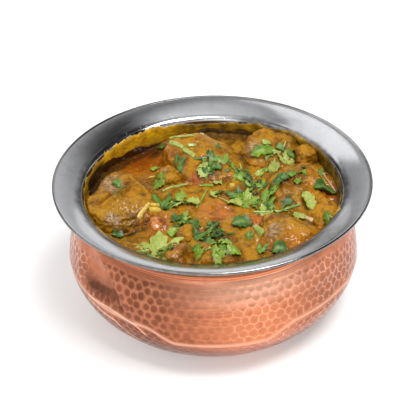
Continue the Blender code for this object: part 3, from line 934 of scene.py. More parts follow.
class CURRY_OT_steel_lining(bpy.types.Operator):
    """Steel lining with its flared lip, rolled edge and the gravy smeared on its wall"""

    bl_idname = "curry.steel_lining"
    bl_label = "Steel Lining"

    def execute(self, context):
        obj = turned(self.profile(), LINING_STEPS)
        points = read_points(obj)
        radius = np.hypot(points[:, 0], points[:, 1])
        angle = np.degrees(np.arctan2(points[:, 1], points[:, 0]))
        depth = HEIGHT - points[:, 2]
        on_lip = ramp(LIP_BEND_RADIUS + 0.001, LIP_BEND_RADIUS + 0.006, radius)
        points[:, 2] += noise_at(points, 60.0, 4.0) * 0.00010 * on_lip
        is_inner = (radius < INNER_WALL_RADIUS) & (depth > 0.0040) & (depth < INNER_WALL_DEPTH)
        smear, film = self.smears(points, angle, depth)
        smear = np.where(is_inner, smear, 0.0)
        thick = ramp(0.45, 0.9, smear) * (0.00025 + 0.00022 * noise_at(points, 700.0, 2.0))
        widen(obj, points, -np.where(is_inner, np.maximum(thick, 0.0), 0.0))
        store(obj, "smear", smear, least=-1.0)
        # Painted shade on the lip, and film with painted shade below the smears
        film = np.maximum(np.where(is_inner, film, 0.0), self.lip_shade(points, angle, radius, depth))
        store(obj, "film", film)
        right_oil = facing(np.radians(angle), 5.0, 0.45) * ramp(0.0105, 0.0145, depth)
        store(obj, "oil", 0.15 + right_oil)
        # Painted shade on the wall, and darker oil on the right, kept as depth
        deep = np.maximum(0.75 * right_oil, self.darkness(points, angle, depth))
        store(obj, "depth", np.clip(deep, 0.0, 0.98) * is_inner)
        bend_line = peak(radius, 0.0618, 0.0009) * (depth < 0.0085)
        store(obj, "specks", bend_line * (np.abs(angle - 95.0) < 55.0))
        material = steel_material(context.scene.curry_bowl, context.scene.curry_food)
        finish_piece(obj, "steel_lining", material)
        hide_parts("steel_bowl")
        return {"FINISHED"}

    def profile(self):
        """The lining's section, from the middle of its floor up, over the lip and down outside."""
        floor = HEIGHT - LINING_FLOOR_DEPTH
        depths = [*np.linspace(THROAT_DEPTH + 0.0006, 0.0190, 26), 0.0220, LINING_BELLY_DEPTH, 0.050, 0.060]
        inside = [(0.0, floor), (LINING_FLOOR_RADIUS, floor)]
        inside += [(lining_radius(depth), HEIGHT - depth) for depth in reversed(depths)]
        lip = [lip_point(share) for share in np.linspace(0.0, 1.0, LIP_RINGS, endpoint=False)]
        start, end = Vector(inside[-1]), Vector(lip[2])
        corner = Vector((start.x + 0.0001, HEIGHT - LIP_DROP - 0.0002))
        bend = []
        for share in np.linspace(0.0, 1.0, 9)[1:]:
            rest = 1 - share
            bend.append(tuple(rest**2 * start + 2 * share * rest * corner + share**2 * end))
        centre = (RIM_RADIUS - RIM_EDGE_RADIUS, HEIGHT - RIM_EDGE_RADIUS)
        edge = arc(centre, RIM_EDGE_RADIUS, 90.0, -90.0, 10)
        under = [lip_point(share, LIP_WALL) for share in np.linspace(0.96, 0.0, 12)]
        outside = [(THROAT_RADIUS + 0.75 * LINING_WALL, HEIGHT - THROAT_DEPTH - 0.6 * LINING_WALL)]
        for depth in (NECK_DEPTH, 0.022, LINING_BELLY_DEPTH, 0.050, 0.060):
            outside.append((lining_radius(depth) + LINING_WALL, HEIGHT - depth))
        outside += [(LINING_FLOOR_RADIUS, floor - LINING_WALL), (0.0, floor - LINING_WALL)]
        return inside + bend + lip[3:] + edge + under + outside

    def darkness(self, points, angle, depth):
        """How much painted shade the wall and its smears get: behind the meat, in gaps and in mottled places.
        """
        left = ramp(148.0, 156.0, np.abs(angle)) * (0.48 + 0.35 * noise_at(points, 240.0, 5.0))
        front_left = 0.62 * peak(angle, -152.0, 20.0)
        behind_chunk = ramp(148.0, 154.0, angle) * ramp(176.0, 168.0, angle) * ramp(0.0066, 0.0100, depth)
        gap = 0.9 * peak(angle, 27.0, 4.5) * ramp(0.0090, 0.0108, depth)
        back = ramp(-32.0, -10.0, angle) * ramp(116.0, 100.0, angle)
        back = back * (0.64 + 0.40 * noise_at(points, 240.0, 18.0))
        right = ramp(48.0, 28.0, angle) * ramp(-14.0, -4.0, angle)
        right = right * (0.82 + 0.30 * noise_at(points, 240.0, 27.0))
        back_left = ramp(98.0, 112.0, angle) * ramp(154.0, 146.0, angle)
        back_left = back_left * (0.14 + 0.40 * noise_at(points, 210.0, 33.0))
        return np.maximum.reduce([left, front_left, 0.98 * behind_chunk, gap, back, right, back_left])

    def lip_shade(self, points, angle, radius, depth):
        """Painted shade and reflection on the lip: dark where it turns down, on its back left, along its
        outer edge and in a band at the front right.
        """
        turn_end = from_table(angle, LIP_SHADE_END)
        ragged = 0.0006 * noise_at(points, 260.0, 15.0)
        turn = 0.90 * (1.0 - ramp(turn_end - 0.0022, turn_end + 0.0012, radius + ragged))
        turn = turn * (1.0 - 0.9 * ramp(22.0, 12.0, np.abs(angle - 97.0)))
        glint = peak(radius, 0.0613, 0.0005) * ramp(22.0, 14.0, np.abs(angle - 148.0))
        turn = turn * (1.0 - 0.9 * glint)
        painted_shade = 0.26 * peak(angle, 146.0, 20.0) * (0.8 + 0.9 * noise_at(points, 90.0, 6.0))
        rim = 0.75 * ramp(RIM_RADIUS - 0.0010, RIM_RADIUS - 0.0004, radius)
        right_side = ramp(-45.0, -15.0, angle) * ramp(130.0, 115.0, angle)
        rim = np.maximum(rim, 0.50 * right_side * ramp(RIM_RADIUS - 0.0022, RIM_RADIUS - 0.0010, radius))
        band = 0.72 * peak(angle, -44.0, 17.0) * ramp(0.0752, 0.0728, radius)
        return np.clip(np.maximum.reduce([turn, painted_shade, rim, band]), 0.0, 1.0) * (depth < 0.0110)

    def smears(self, points, angle, depth):
        """How much gravy clings to the wall at each point, and how much thin film and painted shade lie below
        it.
        """
        ragged = noise_at(points, 150.0, 12.0) * 0.0016 + noise_at(points, 480.0, 5.0) * 0.0007
        below_top = ramp(-0.0010, 0.0011, depth - from_table(angle, SMEAR_TOP) - ragged)
        lowest = from_table(angle, SMEAR_END)
        bottom = ramp(lowest - 0.0006, lowest + 0.0008, depth + ragged)
        return below_top * (1.0 - 1.3 * bottom), 0.60 * bottom


def gravy_level(x, y):
    """Height of the gravy before its lumps, as the solid model has it."""
    from_heap = np.hypot(x - GRAVY_HEAP_CENTRE[0], y - GRAVY_HEAP_CENTRE[1]) / GRAVY_HEAP_RADIUS
    from_pool = np.hypot(x - POOL_CENTRE[0], y - POOL_CENTRE[1]) / POOL_RADIUS
    level = HEIGHT - GRAVY_WALL_DEPTH
    return level + GRAVY_HEAP * np.exp(-(from_heap**2)) - POOL_DROP * np.exp(-(from_pool**2))


def blob(x, y, middle, radius, squash=1.0, turn=0.0):
    """1 at the middle, falling smoothly to 0 outside an ellipse."""
    cos = math.cos(math.radians(turn))
    sin = math.sin(math.radians(turn))
    across = (x - middle[0]) * cos + (y - middle[1]) * sin
    along = -(x - middle[0]) * sin + (y - middle[1]) * cos
    return np.exp(-((across / radius) ** 2) - (along / (radius * squash)) ** 2)


def oil_at(x, y):
    """How much oil lies on the food at each place."""
    return np.maximum.reduce([strength * blob(x, y, at, size) for at, size, strength in OIL_SPOTS])


class TopMap:
    """A square grid of values over the bowl, as seen from above."""

    def __init__(self):
        self.values = np.zeros((MAP_CELLS, MAP_CELLS))

    def cell(self, x, y):
        """Row and column of each place."""
        return tuple(
            np.clip((at / MAP_SPAN + 0.5) * (MAP_CELLS - 1), 0, MAP_CELLS - 1).astype(int) for at in (y, x)
        )

    def places(self):
        """Every cell's row, column, x and y."""
        for row in range(MAP_CELLS):
            for column in range(MAP_CELLS):
                yield row, column, *((at / (MAP_CELLS - 1) - 0.5) * MAP_SPAN for at in (column, row))

    def soften(self, width):
        """Blurs the values over width cells."""
        reach = int(3 * width)
        kernel = peak(np.arange(-reach, reach + 1), 0, width)
        kernel /= kernel.sum()
        for axis in (0, 1):
            self.values = np.apply_along_axis(np.convolve, axis, self.values, kernel, "same")

    def read(self, x, y):
        """The value at each place."""
        return self.values[self.cell(x, y)]


class CURRY_OT_gravy(bpy.types.Operator):
    """Thick gravy up to its own level, lumpy, and drawn up a little at the wall and round the meat"""

    bl_idname = "curry.gravy"
    bl_label = "Gravy"

    def execute(self, context):
        bpy.ops.object.select_all(action="DESELECT")
        bpy.ops.mesh.primitive_grid_add(x_subdivisions=GRAVY_CELLS, y_subdivisions=GRAVY_CELLS, size=2.0)
        obj = bpy.context.object
        u, v = read_points(obj)[:, :2].T
        reach = lining_radius(GRAVY_WALL_DEPTH) + GRAVY_REACH_INTO_WALL
        x = u * np.sqrt(1.0 - 0.5 * v * v) * reach
        y = v * np.sqrt(1.0 - 0.5 * u * u) * reach
        radius = np.hypot(x, y)
        flat_points = np.column_stack([x, y, np.zeros(len(x))])
        height = gravy_level(x, y)
        calm = 1.0 - 0.85 * blob(x, y, POOL_CENTRE, 0.0115)
        for size, scale, offset in (
            (0.00110, 130.0, 3.0),
            (0.00080, 330.0, 8.0),
            (0.00045, 760.0, 5.0),
            (0.00012, 1700.0, 1.0),
        ):
            height += size * noise_at(flat_points, scale, offset) * calm
        back_left = self.back_left(x, y)
        height += 0.0010 * ramp(reach - 0.0022, reach, radius) * (1.0 - back_left)
        height -= 0.0009 * ramp(reach - 0.0120, reach - 0.0030, radius) * back_left
        height -= 0.0045 * blob(x, y, (-0.0560, 0.0170), 0.0040, 3.2, 14.0)
        beside = self.beside_meat()
        height += 0.0016 * beside.read(x, y)
        move_to(obj, np.column_stack([x, y, height]))
        self.close_below(obj)

        points = read_points(obj)
        x, y = points[:, 0], points[:, 1]
        store(obj, "oil", oil_at(x, y) + 0.16 * noise_at(points, 190.0, 21.0) + 0.10)
        radius = np.hypot(x, y)
        turn = np.degrees(np.arctan2(y, x))
        behind = ramp(52.0, 62.0, turn) * ramp(100.0, 92.0, turn)
        # Painted shade: the gravy darkens in its hollows, by the wall at the back left and back, around the
        # meat and in the places that GRAVY_SHADE lists
        shade = [
            0.34 * ramp(0.0001, 0.0013, gravy_level(x, y) - points[:, 2]),
            0.86 * ramp(reach - 0.0085, reach - 0.0030, radius) * self.back_left(x, y),
            0.72 * ramp(reach - 0.0085, reach - 0.0035, radius) * behind,
            0.5 * beside.read(x, y),
        ]
        shade += [strength * blob(x, y, *where) for strength, *where in GRAVY_SHADE]
        store(obj, "depth", np.maximum.reduce(shade))
        finish_piece(obj, "gravy_surface", gravy_material(context.scene.curry_food))
        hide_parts("gravy")
        return {"FINISHED"}

    def back_left(self, x, y):
        """1 beside the wall at the back left, where the gravy stands lower, and 0 elsewhere."""
        degrees = np.degrees(np.arctan2(y, x))
        return ramp(108.0, 120.0, degrees) * ramp(172.0, 160.0, degrees)

    def beside_meat(self):
        """A map that is 1 where a piece of meat stands out of the gravy and fades to 0 beside it."""
        made = TopMap()
        tree = solid_tree(MEAT_NODES + ["tomato_piece"])
        for row, column, x, y in made.places():
            hit = tree.ray_cast(Vector((x, y, 0.1)), Vector((0.0, 0.0, -1.0)))[0]
            if hit is not None and hit.z > float(gravy_level(x, y)) + 0.0002:
                made.values[row, column] = 1.0
        made.soften(2.6)
        return made

    def close_below(self, obj):
        """Extrudes the rim of the surface down the lining to its floor."""
        choose(obj)
        bpy.ops.object.mode_set(mode="EDIT")
        bpy.ops.mesh.select_all(action="SELECT")
        bpy.ops.mesh.region_to_loop()
        depths = (0.022, LINING_BELLY_DEPTH, 0.050, 0.060)
        rings = [(lining_radius(depth) - TOUCH_GAP, HEIGHT - depth) for depth in depths]
        rings.append((LINING_FLOOR_RADIUS - 0.002, HEIGHT - LINING_FLOOR_DEPTH + TOUCH_GAP))
        extrude_rings(obj, rings)
        bpy.ops.mesh.fill()
        bpy.ops.mesh.select_all(action="SELECT")
        bpy.ops.mesh.normals_make_consistent(inside=False)
        bpy.ops.object.mode_set(mode="OBJECT")


def solid_tree(names):
    """A search tree over the faces of the named CAD nodes or pieces."""
    points = []
    faces = []
    for name in names:
        obj = frame["nodes"].get(name) or bpy.data.objects[name]
        first = len(points)
        points += [vertex.co.copy() for vertex in obj.data.vertices]
        faces += [[first + index for index in polygon.vertices] for polygon in obj.data.polygons]
    return BVHTree.FromPolygons(points, faces)


# How each piece of meat differs from the others. Creases are (start, end, width, depth), with a
# negative depth for a ridge. Bare, wrinkled and dark patches are (middle, radius, strength); dark patches are
# painted shade
PLAIN_CUT = {
    "grain": (1.0, 0.0, 0.0),
    "fibre": 0.00030,
    "lump": 0.0009,
    "rough": 0.00036,
    "smooth": 9,
    "creases": (),
    "bare": (),
    "wrinkled": (),
    "dark": (),
}
CUTS = {
    "mutton_left": {
        "grain": (0.55, 0.83, 0.0),
        "smooth": 3,
        "lump": 0.0006,
        "creases": (
            ((-0.0520, -0.0120, 0.0605), (-0.0400, 0.0052, 0.0603), 0.0014, 0.0020),
            ((-0.0512, -0.0165, 0.0605), (-0.0385, 0.0020, 0.0603), 0.0011, -0.0016),
            ((-0.0500, -0.0040, 0.0610), (-0.0455, 0.0040, 0.0607), 0.0009, 0.0008),
            ((-0.0450, -0.0210, 0.0580), (-0.0330, -0.0135, 0.0570), 0.0011, 0.0010),
            ((-0.0440, -0.0175, 0.0590), (-0.0330, -0.0105, 0.0578), 0.0010, 0.0008),
            ((-0.0420, -0.0235, 0.0560), (-0.0310, -0.0165, 0.0560), 0.0010, 0.0010),
            ((-0.0580, 0.0030, 0.0560), (-0.0535, 0.0165, 0.0560), 0.0034, 0.0055),
        ),
        # The second bare patch, low on the front, is a painted highlight: a pale pinkish shine
        "bare": (((-0.0472, 0.0035, 0.0604), 0.0072, 1.0), ((-0.0462, -0.0215, 0.0582), 0.0046, 0.9)),
        "wrinkled": (((-0.0385, -0.0170, 0.0582), 0.0085, 1.0),),
        "dark": (
            ((-0.0572, 0.0085, 0.0548), 0.0042, 1.1),
            ((-0.0550, 0.0145, 0.0548), 0.0036, 1.0),
            ((-0.0331, -0.0025, 0.0581), 0.0014, 0.8),
            ((-0.0405, -0.0250, 0.0545), 0.0032, 0.8),
            ((-0.0350, -0.0225, 0.0545), 0.0032, 0.85),
            ((-0.0300, -0.0198, 0.0545), 0.0030, 0.85),
            ((-0.0365, -0.0195, 0.0565), 0.0048, 0.42),
        ),
    },
    "mutton_back": {"grain": (0.9, -0.4, 0.0), "fibre": 0.00012, "rough": 0.00014},
    "mutton_knob": {"lump": 0.0011, "rough": 0.0005, "bare": (((-0.0225, 0.0180, 0.0590), 0.0035, 0.5),)},
    "mutton_right_knob": {"lump": 0.0010, "rough": 0.0005},
    "mutton_back_right": {
        "lump": 0.0010,
        "bare": (((0.0215, 0.0350, 0.0600), 0.0050, 0.9),),
        "dark": (((0.0415, 0.0400, 0.0590), 0.0042, 0.75), ((0.0330, 0.0465, 0.0590), 0.0030, 0.6)),
    },
    "mutton_right": {"grain": (0.2, 0.98, 0.0), "bare": (((0.0360, 0.0080, 0.0600), 0.0060, 0.30),)},
    "mutton_front_right": {
        "grain": (0.3, -0.95, 0.0),
        "lump": 0.0010,
        "bare": (((0.0279, -0.0337, 0.0590), 0.0052, 0.95), ((0.0423, -0.0200, 0.0580), 0.0035, 0.8)),
    },
    "mutton_front_left": {
        "rough": 0.00035,
        "wrinkled": (((-0.0150, -0.0470, 0.0600), 0.0090, 0.6),),
        "dark": (((-0.0118, -0.0462, 0.0572), 0.0022, 0.9), ((-0.0120, -0.0500, 0.0572), 0.0020, 0.8)),
    },
    "mutton_middle": {"rough": 0.00035},
    "mutton_left_scrap": {"rough": 0.00035},
}


def remeshed_copy(name, voxel, smoothing):
    """A fine even copy of a CAD node's mesh."""
    source = frame["nodes"][name]
    bpy.ops.object.select_all(action="DESELECT")
    obj = bpy.data.objects.new(name + "_fine", source.data.copy())
    bpy.context.scene.collection.objects.link(obj)
    choose(obj)
    bpy.ops.object.mode_set(mode="EDIT")
    bpy.ops.mesh.select_all(action="SELECT")
    bpy.ops.mesh.remove_doubles(threshold=0.000005)
    bpy.ops.object.mode_set(mode="OBJECT")
    obj.data.materials.clear()
    remesh = obj.modifiers.new("Remesh", "REMESH")
    remesh.mode = "VOXEL"
    remesh.voxel_size = voxel
    bpy.ops.object.modifier_apply(modifier=remesh.name)
    soften = obj.modifiers.new("Soften", "SMOOTH")
    soften.factor = 0.5
    soften.iterations = smoothing
    bpy.ops.object.modifier_apply(modifier=soften.name)
    return obj


def patches_at(points, patches):
    """The strongest of the round patches at each point."""
    total = np.zeros(len(points))
    for middle, radius, strength in patches:
        away = np.linalg.norm(points - np.array(middle), axis=1)
        total = np.maximum(total, strength * peak(away, 0.0, radius))
    return total


def crease_at(points, start, end, width, depth):
    """How deep a crease is at each point."""
    run = np.array(end) - start
    share = np.clip(((points - start) @ run) / (run @ run), 0.0, 1.0)
    away = np.linalg.norm(points - (start + share[:, None] * run), axis=1)
    return depth * peak(away, 0.0, width)


class CURRY_OT_meat(bpy.types.Operator):
    """Pieces of braised mutton, each worked from its solid: lumps, grain, creases and bare places"""

    bl_idname = "curry.meat"
    bl_label = "Mutton"

    def execute(self, context):
        material = meat_material(context.scene.curry_food)
        for name in MEAT_NODES:
            self.make_piece(name, {**PLAIN_CUT, **CUTS.get(name, {})}, material)
        return {"FINISHED"}

    def make_piece(self, name, cut, material):
        """One piece of meat."""
        obj = remeshed_copy(name, MEAT_VOXEL, cut["smooth"])
        points = read_points(obj)
        outward = read_points(obj, "normal")
        along = np.array(Vector(cut["grain"]))
        flattened = points - 0.85 * (points @ along)[:, None] * along
        wrinkled = patches_at(points, cut["wrinkled"])
        bare = patches_at(points, cut["bare"])
        folds = 1.0 - 2.0 * np.abs(noise_at(flattened, 420.0, 7.0))
        shift = cut["lump"] * noise_at(points, 150.0, 6.0) + 0.6 * cut["lump"] * noise_at(points, 340.0, 9.0)
        shift += cut["fibre"] * (1.0 + 2.2 * bare + 1.6 * wrinkled) * folds
        shift += cut["rough"] * (1.0 + 1.5 * wrinkled) * noise_at(points, 850.0, 4.0)
        shift += 0.00010 * noise_at(points, 1800.0, 2.0)
        for crease in cut["creases"]:
            shift -= crease_at(points, *crease)
        move_to(obj, points + outward * shift[:, None])
        points = read_points(obj)
        x, y, z = points.T
        level = gravy_level(x, y)
        wet = 1.0 - ramp(0.0, 0.0030, z - level)
        store(obj, "oil", 0.6 * oil_at(x, y) + 0.25 * wet + 0.12 + 0.15 * noise_at(points, 170.0, 31.0))
        store(obj, "bare", bare + 0.18 * noise_at(points, 210.0, 14.0))
        # Painted shade, kept as depth: darker in the creases, where the meat meets the gravy and in its dark
        # patches
        hollow = ramp(0.0002, 0.0011, -shift)
        foot = 1.0 - ramp(-0.0004, 0.0018, z - level)
        deep = patches_at(points, cut["dark"]) + 0.40 * hollow + 0.55 * foot
        store(obj, "depth", np.minimum(deep, 0.96))
        store(obj, "glisten", wrinkled)
        finish_piece(obj, name.replace("mutton", "meat"), material)
        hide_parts(name)


class CURRY_OT_tomato(bpy.types.Operator):
    """Soft cooked tomato lying in oil beside the large piece of meat"""

    bl_idname = "curry.tomato"
    bl_label = "Tomato"

    def execute(self, context):
        obj = remeshed_copy("tomato_piece", TOMATO_VOXEL, 8)
        points = read_points(obj)
        shift = 0.0006 * noise_at(points, 260.0, 3.0) + 0.0003 * noise_at(points, 700.0, 5.0)
        folds = 1.0 - 2.0 * np.abs(noise_at(points, 480.0, 12.0))
        move_to(obj, points + read_points(obj, "normal") * (shift + 0.00022 * folds)[:, None])
        store(obj, "tone", 0.5 + 0.5 * noise_at(read_points(obj), 300.0, 8.0))
        store(obj, "vein", np.maximum(folds - 0.75, 0.0) * 0.5)
        colours = [(0.40, 0.09, 0.010), (0.52, 0.17, 0.025), (0.58, 0.27, 0.08)]
        material = tinted_material("cooked tomato", colours, 0.22, 0.9, 0.0002, 700.0)
        finish_piece(obj, "tomato_flesh", material)
        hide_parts("tomato_piece")
        return {"FINISHED"}


def lobed_leaf(u, v):
    """A whole leaf of three lobes. Like the shapes below, it gives x, y, z and how much vein there is."""
    turn = u * math.radians(98.0)
    share = 0.05 + 0.95 * (v + 1.0) / 2.0
    lobes = 0.60 + 0.40 * (0.5 + 0.5 * np.cos(turn * 360.0 / 62.0)) ** 0.55
    teeth = 1.0 - 0.20 * (0.5 - 0.5 * np.cos(turn * 360.0 / 20.7))
    spread = 1.0 - 0.18 * np.abs(u) ** 1.2 - 0.30 * ramp(0.84, 1.0, np.abs(u))
    reach = share * (lobes * teeth) ** (share**1.5) * spread
    veins = np.maximum.reduce([peak(turn, at, 0.075) for at in (-1.08, 0.0, 1.08)])
    z = 0.07 * np.cos(turn * 360.0 / 62.0) * share + 0.07 * share**2
    return reach * np.cos(turn), reach * np.sin(turn), z, veins * (1.0 - 0.70 * share)


def single_lobe(u, v):
    """One toothed lobe."""
    share = (u + 1.0) / 2.0
    teeth = 1.0 + 0.13 * np.cos(share * 24.0 + 1.2 * np.sign(v))
    ends = np.minimum(1.0, 3.2 * share + 0.12) * np.clip(5.5 * (1.0 - share), 0.0, 1.0) ** 0.6
    wide = 0.36 * ends * teeth + 0.012
    x = share + 0.10 * v * v * (share - 0.4)
    z = 0.12 * np.abs(v) * wide / 0.36 + 0.05 * np.sin(share * 5.0)
    return x, v * wide + 0.05 * np.sin(share * 4.0), z, peak(v, 0.0, 0.14) * (1.0 - 0.5 * share)


def leaf_chip(u, v):
    """A small square cutting."""
    share = (u + 1.0) / 2.0
    wide = 0.34 + 0.10 * np.cos(share * 9.0) - 0.16 * share * (v > 0.0)
    x = share + 0.16 * v * (1.0 - share) + 0.10 * np.cos(v * 7.0) * share
    return x, v * wide, 0.10 * np.abs(v + 0.2) + 0.06 * np.sin(share * 4.0), peak(v, -0.2, 0.18)


def leaf_shred(u, v):
    """A narrow strip of leaf."""
    share = (u + 1.0) / 2.0
    wide = 0.16 * (1.0 + 0.30 * np.cos(share * 11.0)) * np.minimum(1.0, 6.0 * (1.0 - share) + 0.35)
    y = v * wide + 0.14 * np.sin(math.pi * share)
    return share, y, 0.06 * np.sin(share * 4.5) - 0.05 * np.abs(v), 0.4 * peak(v, 0.0, 0.35)


# Each kind's shape, its columns and rows of cells, and how thick it is
LEAF_KINDS = {
    "lobed": (lobed_leaf, 42, 5, 0.024),
    "lobe": (single_lobe, 20, 4, 0.045),
    "chip": (leaf_chip, 6, 3, 0.045),
    "shred": (leaf_shred, 6, 2, 0.045),
    "tuft": (lobed_leaf, 18, 2, 0.045),
}


def leaf_template(kind):
    """One leaf or cutting at unit length along +X."""
    shape, columns, rows, thickness = LEAF_KINDS[kind]
    bpy.ops.object.select_all(action="DESELECT")
    bpy.ops.mesh.primitive_grid_add(x_subdivisions=columns, y_subdivisions=rows, size=2.0)
    obj = bpy.context.object
    x, y, z, vein = shape(*read_points(obj)[:, :2].T)
    move_to(obj, np.column_stack([x, y, z]))
    store(obj, "vein", vein)
    thicken = obj.modifiers.new("Thickness", "SOLIDIFY")
    thicken.thickness = thickness
    thicken.offset = 0.0
    choose(obj)
    bpy.ops.object.modifier_apply(modifier=thicken.name)
    return take_template(obj)


def stem_template():
    """A cut stem at unit length along +X and one unit across."""
    bpy.ops.object.select_all(action="DESELECT")
    bpy.ops.mesh.primitive_cylinder_add(vertices=7, radius=0.5, depth=1.0, rotation=(0.0, math.pi / 2.0, 0.0))
    obj = bpy.context.object
    choose(obj)
    bpy.ops.object.transform_apply(location=False, rotation=True, scale=False)
    bpy.ops.object.mode_set(mode="EDIT")
    for cut in (-0.3, -0.1, 0.1, 0.3):
        bpy.ops.mesh.select_all(action="SELECT")
        bpy.ops.mesh.bisect(plane_co=(cut, 0.0, 0.0), plane_no=(1.0, 0.0, 0.0))
    bpy.ops.object.mode_set(mode="OBJECT")
    points = read_points(obj)
    ends = 1.0 - 0.25 * (np.abs(points[:, 0]) > 0.49)
    points[:, 1:] *= ends[:, None]
    points[:, 0] += 0.5
    move_to(obj, points)
    store(obj, "vein", np.where(np.abs(points[:, 0] - 0.5) > 0.45, 0.8, 0.1))
    return take_template(obj)


def take_template(obj):
    """The template's points, faces and veins, once its object is gone."""
    faces = [tuple(polygon.vertices) for polygon in obj.data.polygons]
    template = read_points(obj), faces, kept(obj, "vein")
    bpy.data.objects.remove(obj)
    return template


class Scatter:
    """Lays copies of templates on the food and joins them into one mesh.

    Leaves are as thick as their length asks for, and round things as thick as they are wide.
    """

    def __init__(self, tree, seed, is_round=False):
        self.tree = tree
        self.chance = random.Random(seed)
        self.is_round = is_round
        self.points = []
        self.faces = []
        self.tones = []
        self.veins = []

    def ground(self, x, y):
        """Height of the food under a place."""
        hit = self.tree.ray_cast(Vector((x, y, 0.09)), Vector((0.0, 0.0, -1.0)))[0]
        return hit.z if hit is not None else HEIGHT - GRAVY_WALL_DEPTH

    def lay(self, template, place, turn, length, width, tone, follow, lift, tilt=0.0, roll=0.0, crumple=0.0):
        """One copy with its middle at place, in millimetres, and its own turn, tone, lean and crumple.

        It follows the food's unevenness by the share follow, and lies lift metres over it.
        """
        points, faces, veins = template
        shape = points - np.array([0.5, 0.0, 0.0])
        shade = 0.0
        if crumple:
            offset = self.chance.uniform(0.0, 90.0)
            shape[:, 2] += crumple * noise_at(points, 2.6, offset)
            shade = 0.22 * noise_at(points, 2.2, offset + 7.0)
        shape = shape * np.array([length, width, width if self.is_round else length]) * 0.001
        spin = Matrix.Rotation(math.radians(turn), 3, "Z")
        lean = Matrix.Rotation(math.radians(-tilt), 3, "Y") @ Matrix.Rotation(math.radians(roll), 3, "X")
        shape = shape @ np.array(lean).T @ np.array(spin).T
        x = shape[:, 0] + place[0] * 0.001
        y = shape[:, 1] + place[1] * 0.001
        ground = np.array([self.ground(*at) for at in zip(x, y)])
        terms = np.column_stack([x, y, np.ones(len(x))])
        plane = terms @ np.linalg.lstsq(terms, ground, rcond=None)[0]
        base = plane * (1.0 - follow) + ground * follow
        z = np.maximum(base + shape[:, 2], ground - 0.0004) + lift
        first = len(self.tones)
        self.points += list(zip(x, y, z))
        self.faces += [tuple(first + index for index in face) for face in faces]
        self.tones += list(tone + shade * np.ones(len(x)))
        self.veins += list(veins)

    def lay_stems(self, template, stems, follow, lift):
        """Stems or strips, each a start, an end, a width and a tone."""
        for start, end, width, tone in stems:
            middle = ((start[0] + end[0]) / 2.0, (start[1] + end[1]) / 2.0)
            run = (end[0] - start[0], end[1] - start[1])
            turn = math.degrees(math.atan2(run[1], run[0]))
            self.lay(template, middle, turn, math.hypot(*run), width, tone, follow, lift)

    def finish(self, name, material, slot):
        """The joined mesh as a piece."""
        mesh = bpy.data.meshes.new(name)
        mesh.from_pydata([tuple(point) for point in self.points], [], self.faces)
        obj = bpy.data.objects.new(name, mesh)
        bpy.context.scene.collection.objects.link(obj)
        choose(obj)
        bpy.ops.object.mode_set(mode="EDIT")
        bpy.ops.mesh.select_all(action="SELECT")
        bpy.ops.mesh.normals_make_consistent(inside=False)
        bpy.ops.object.mode_set(mode="OBJECT")
        store(obj, "tone", self.tones)
        store(obj, "vein", self.veins)
        finish_piece(obj, name, material)
        bpy.ops.object.shade_smooth_by_angle(angle=math.radians(42.0))


DEEP = 0.33
PALE = 0.97

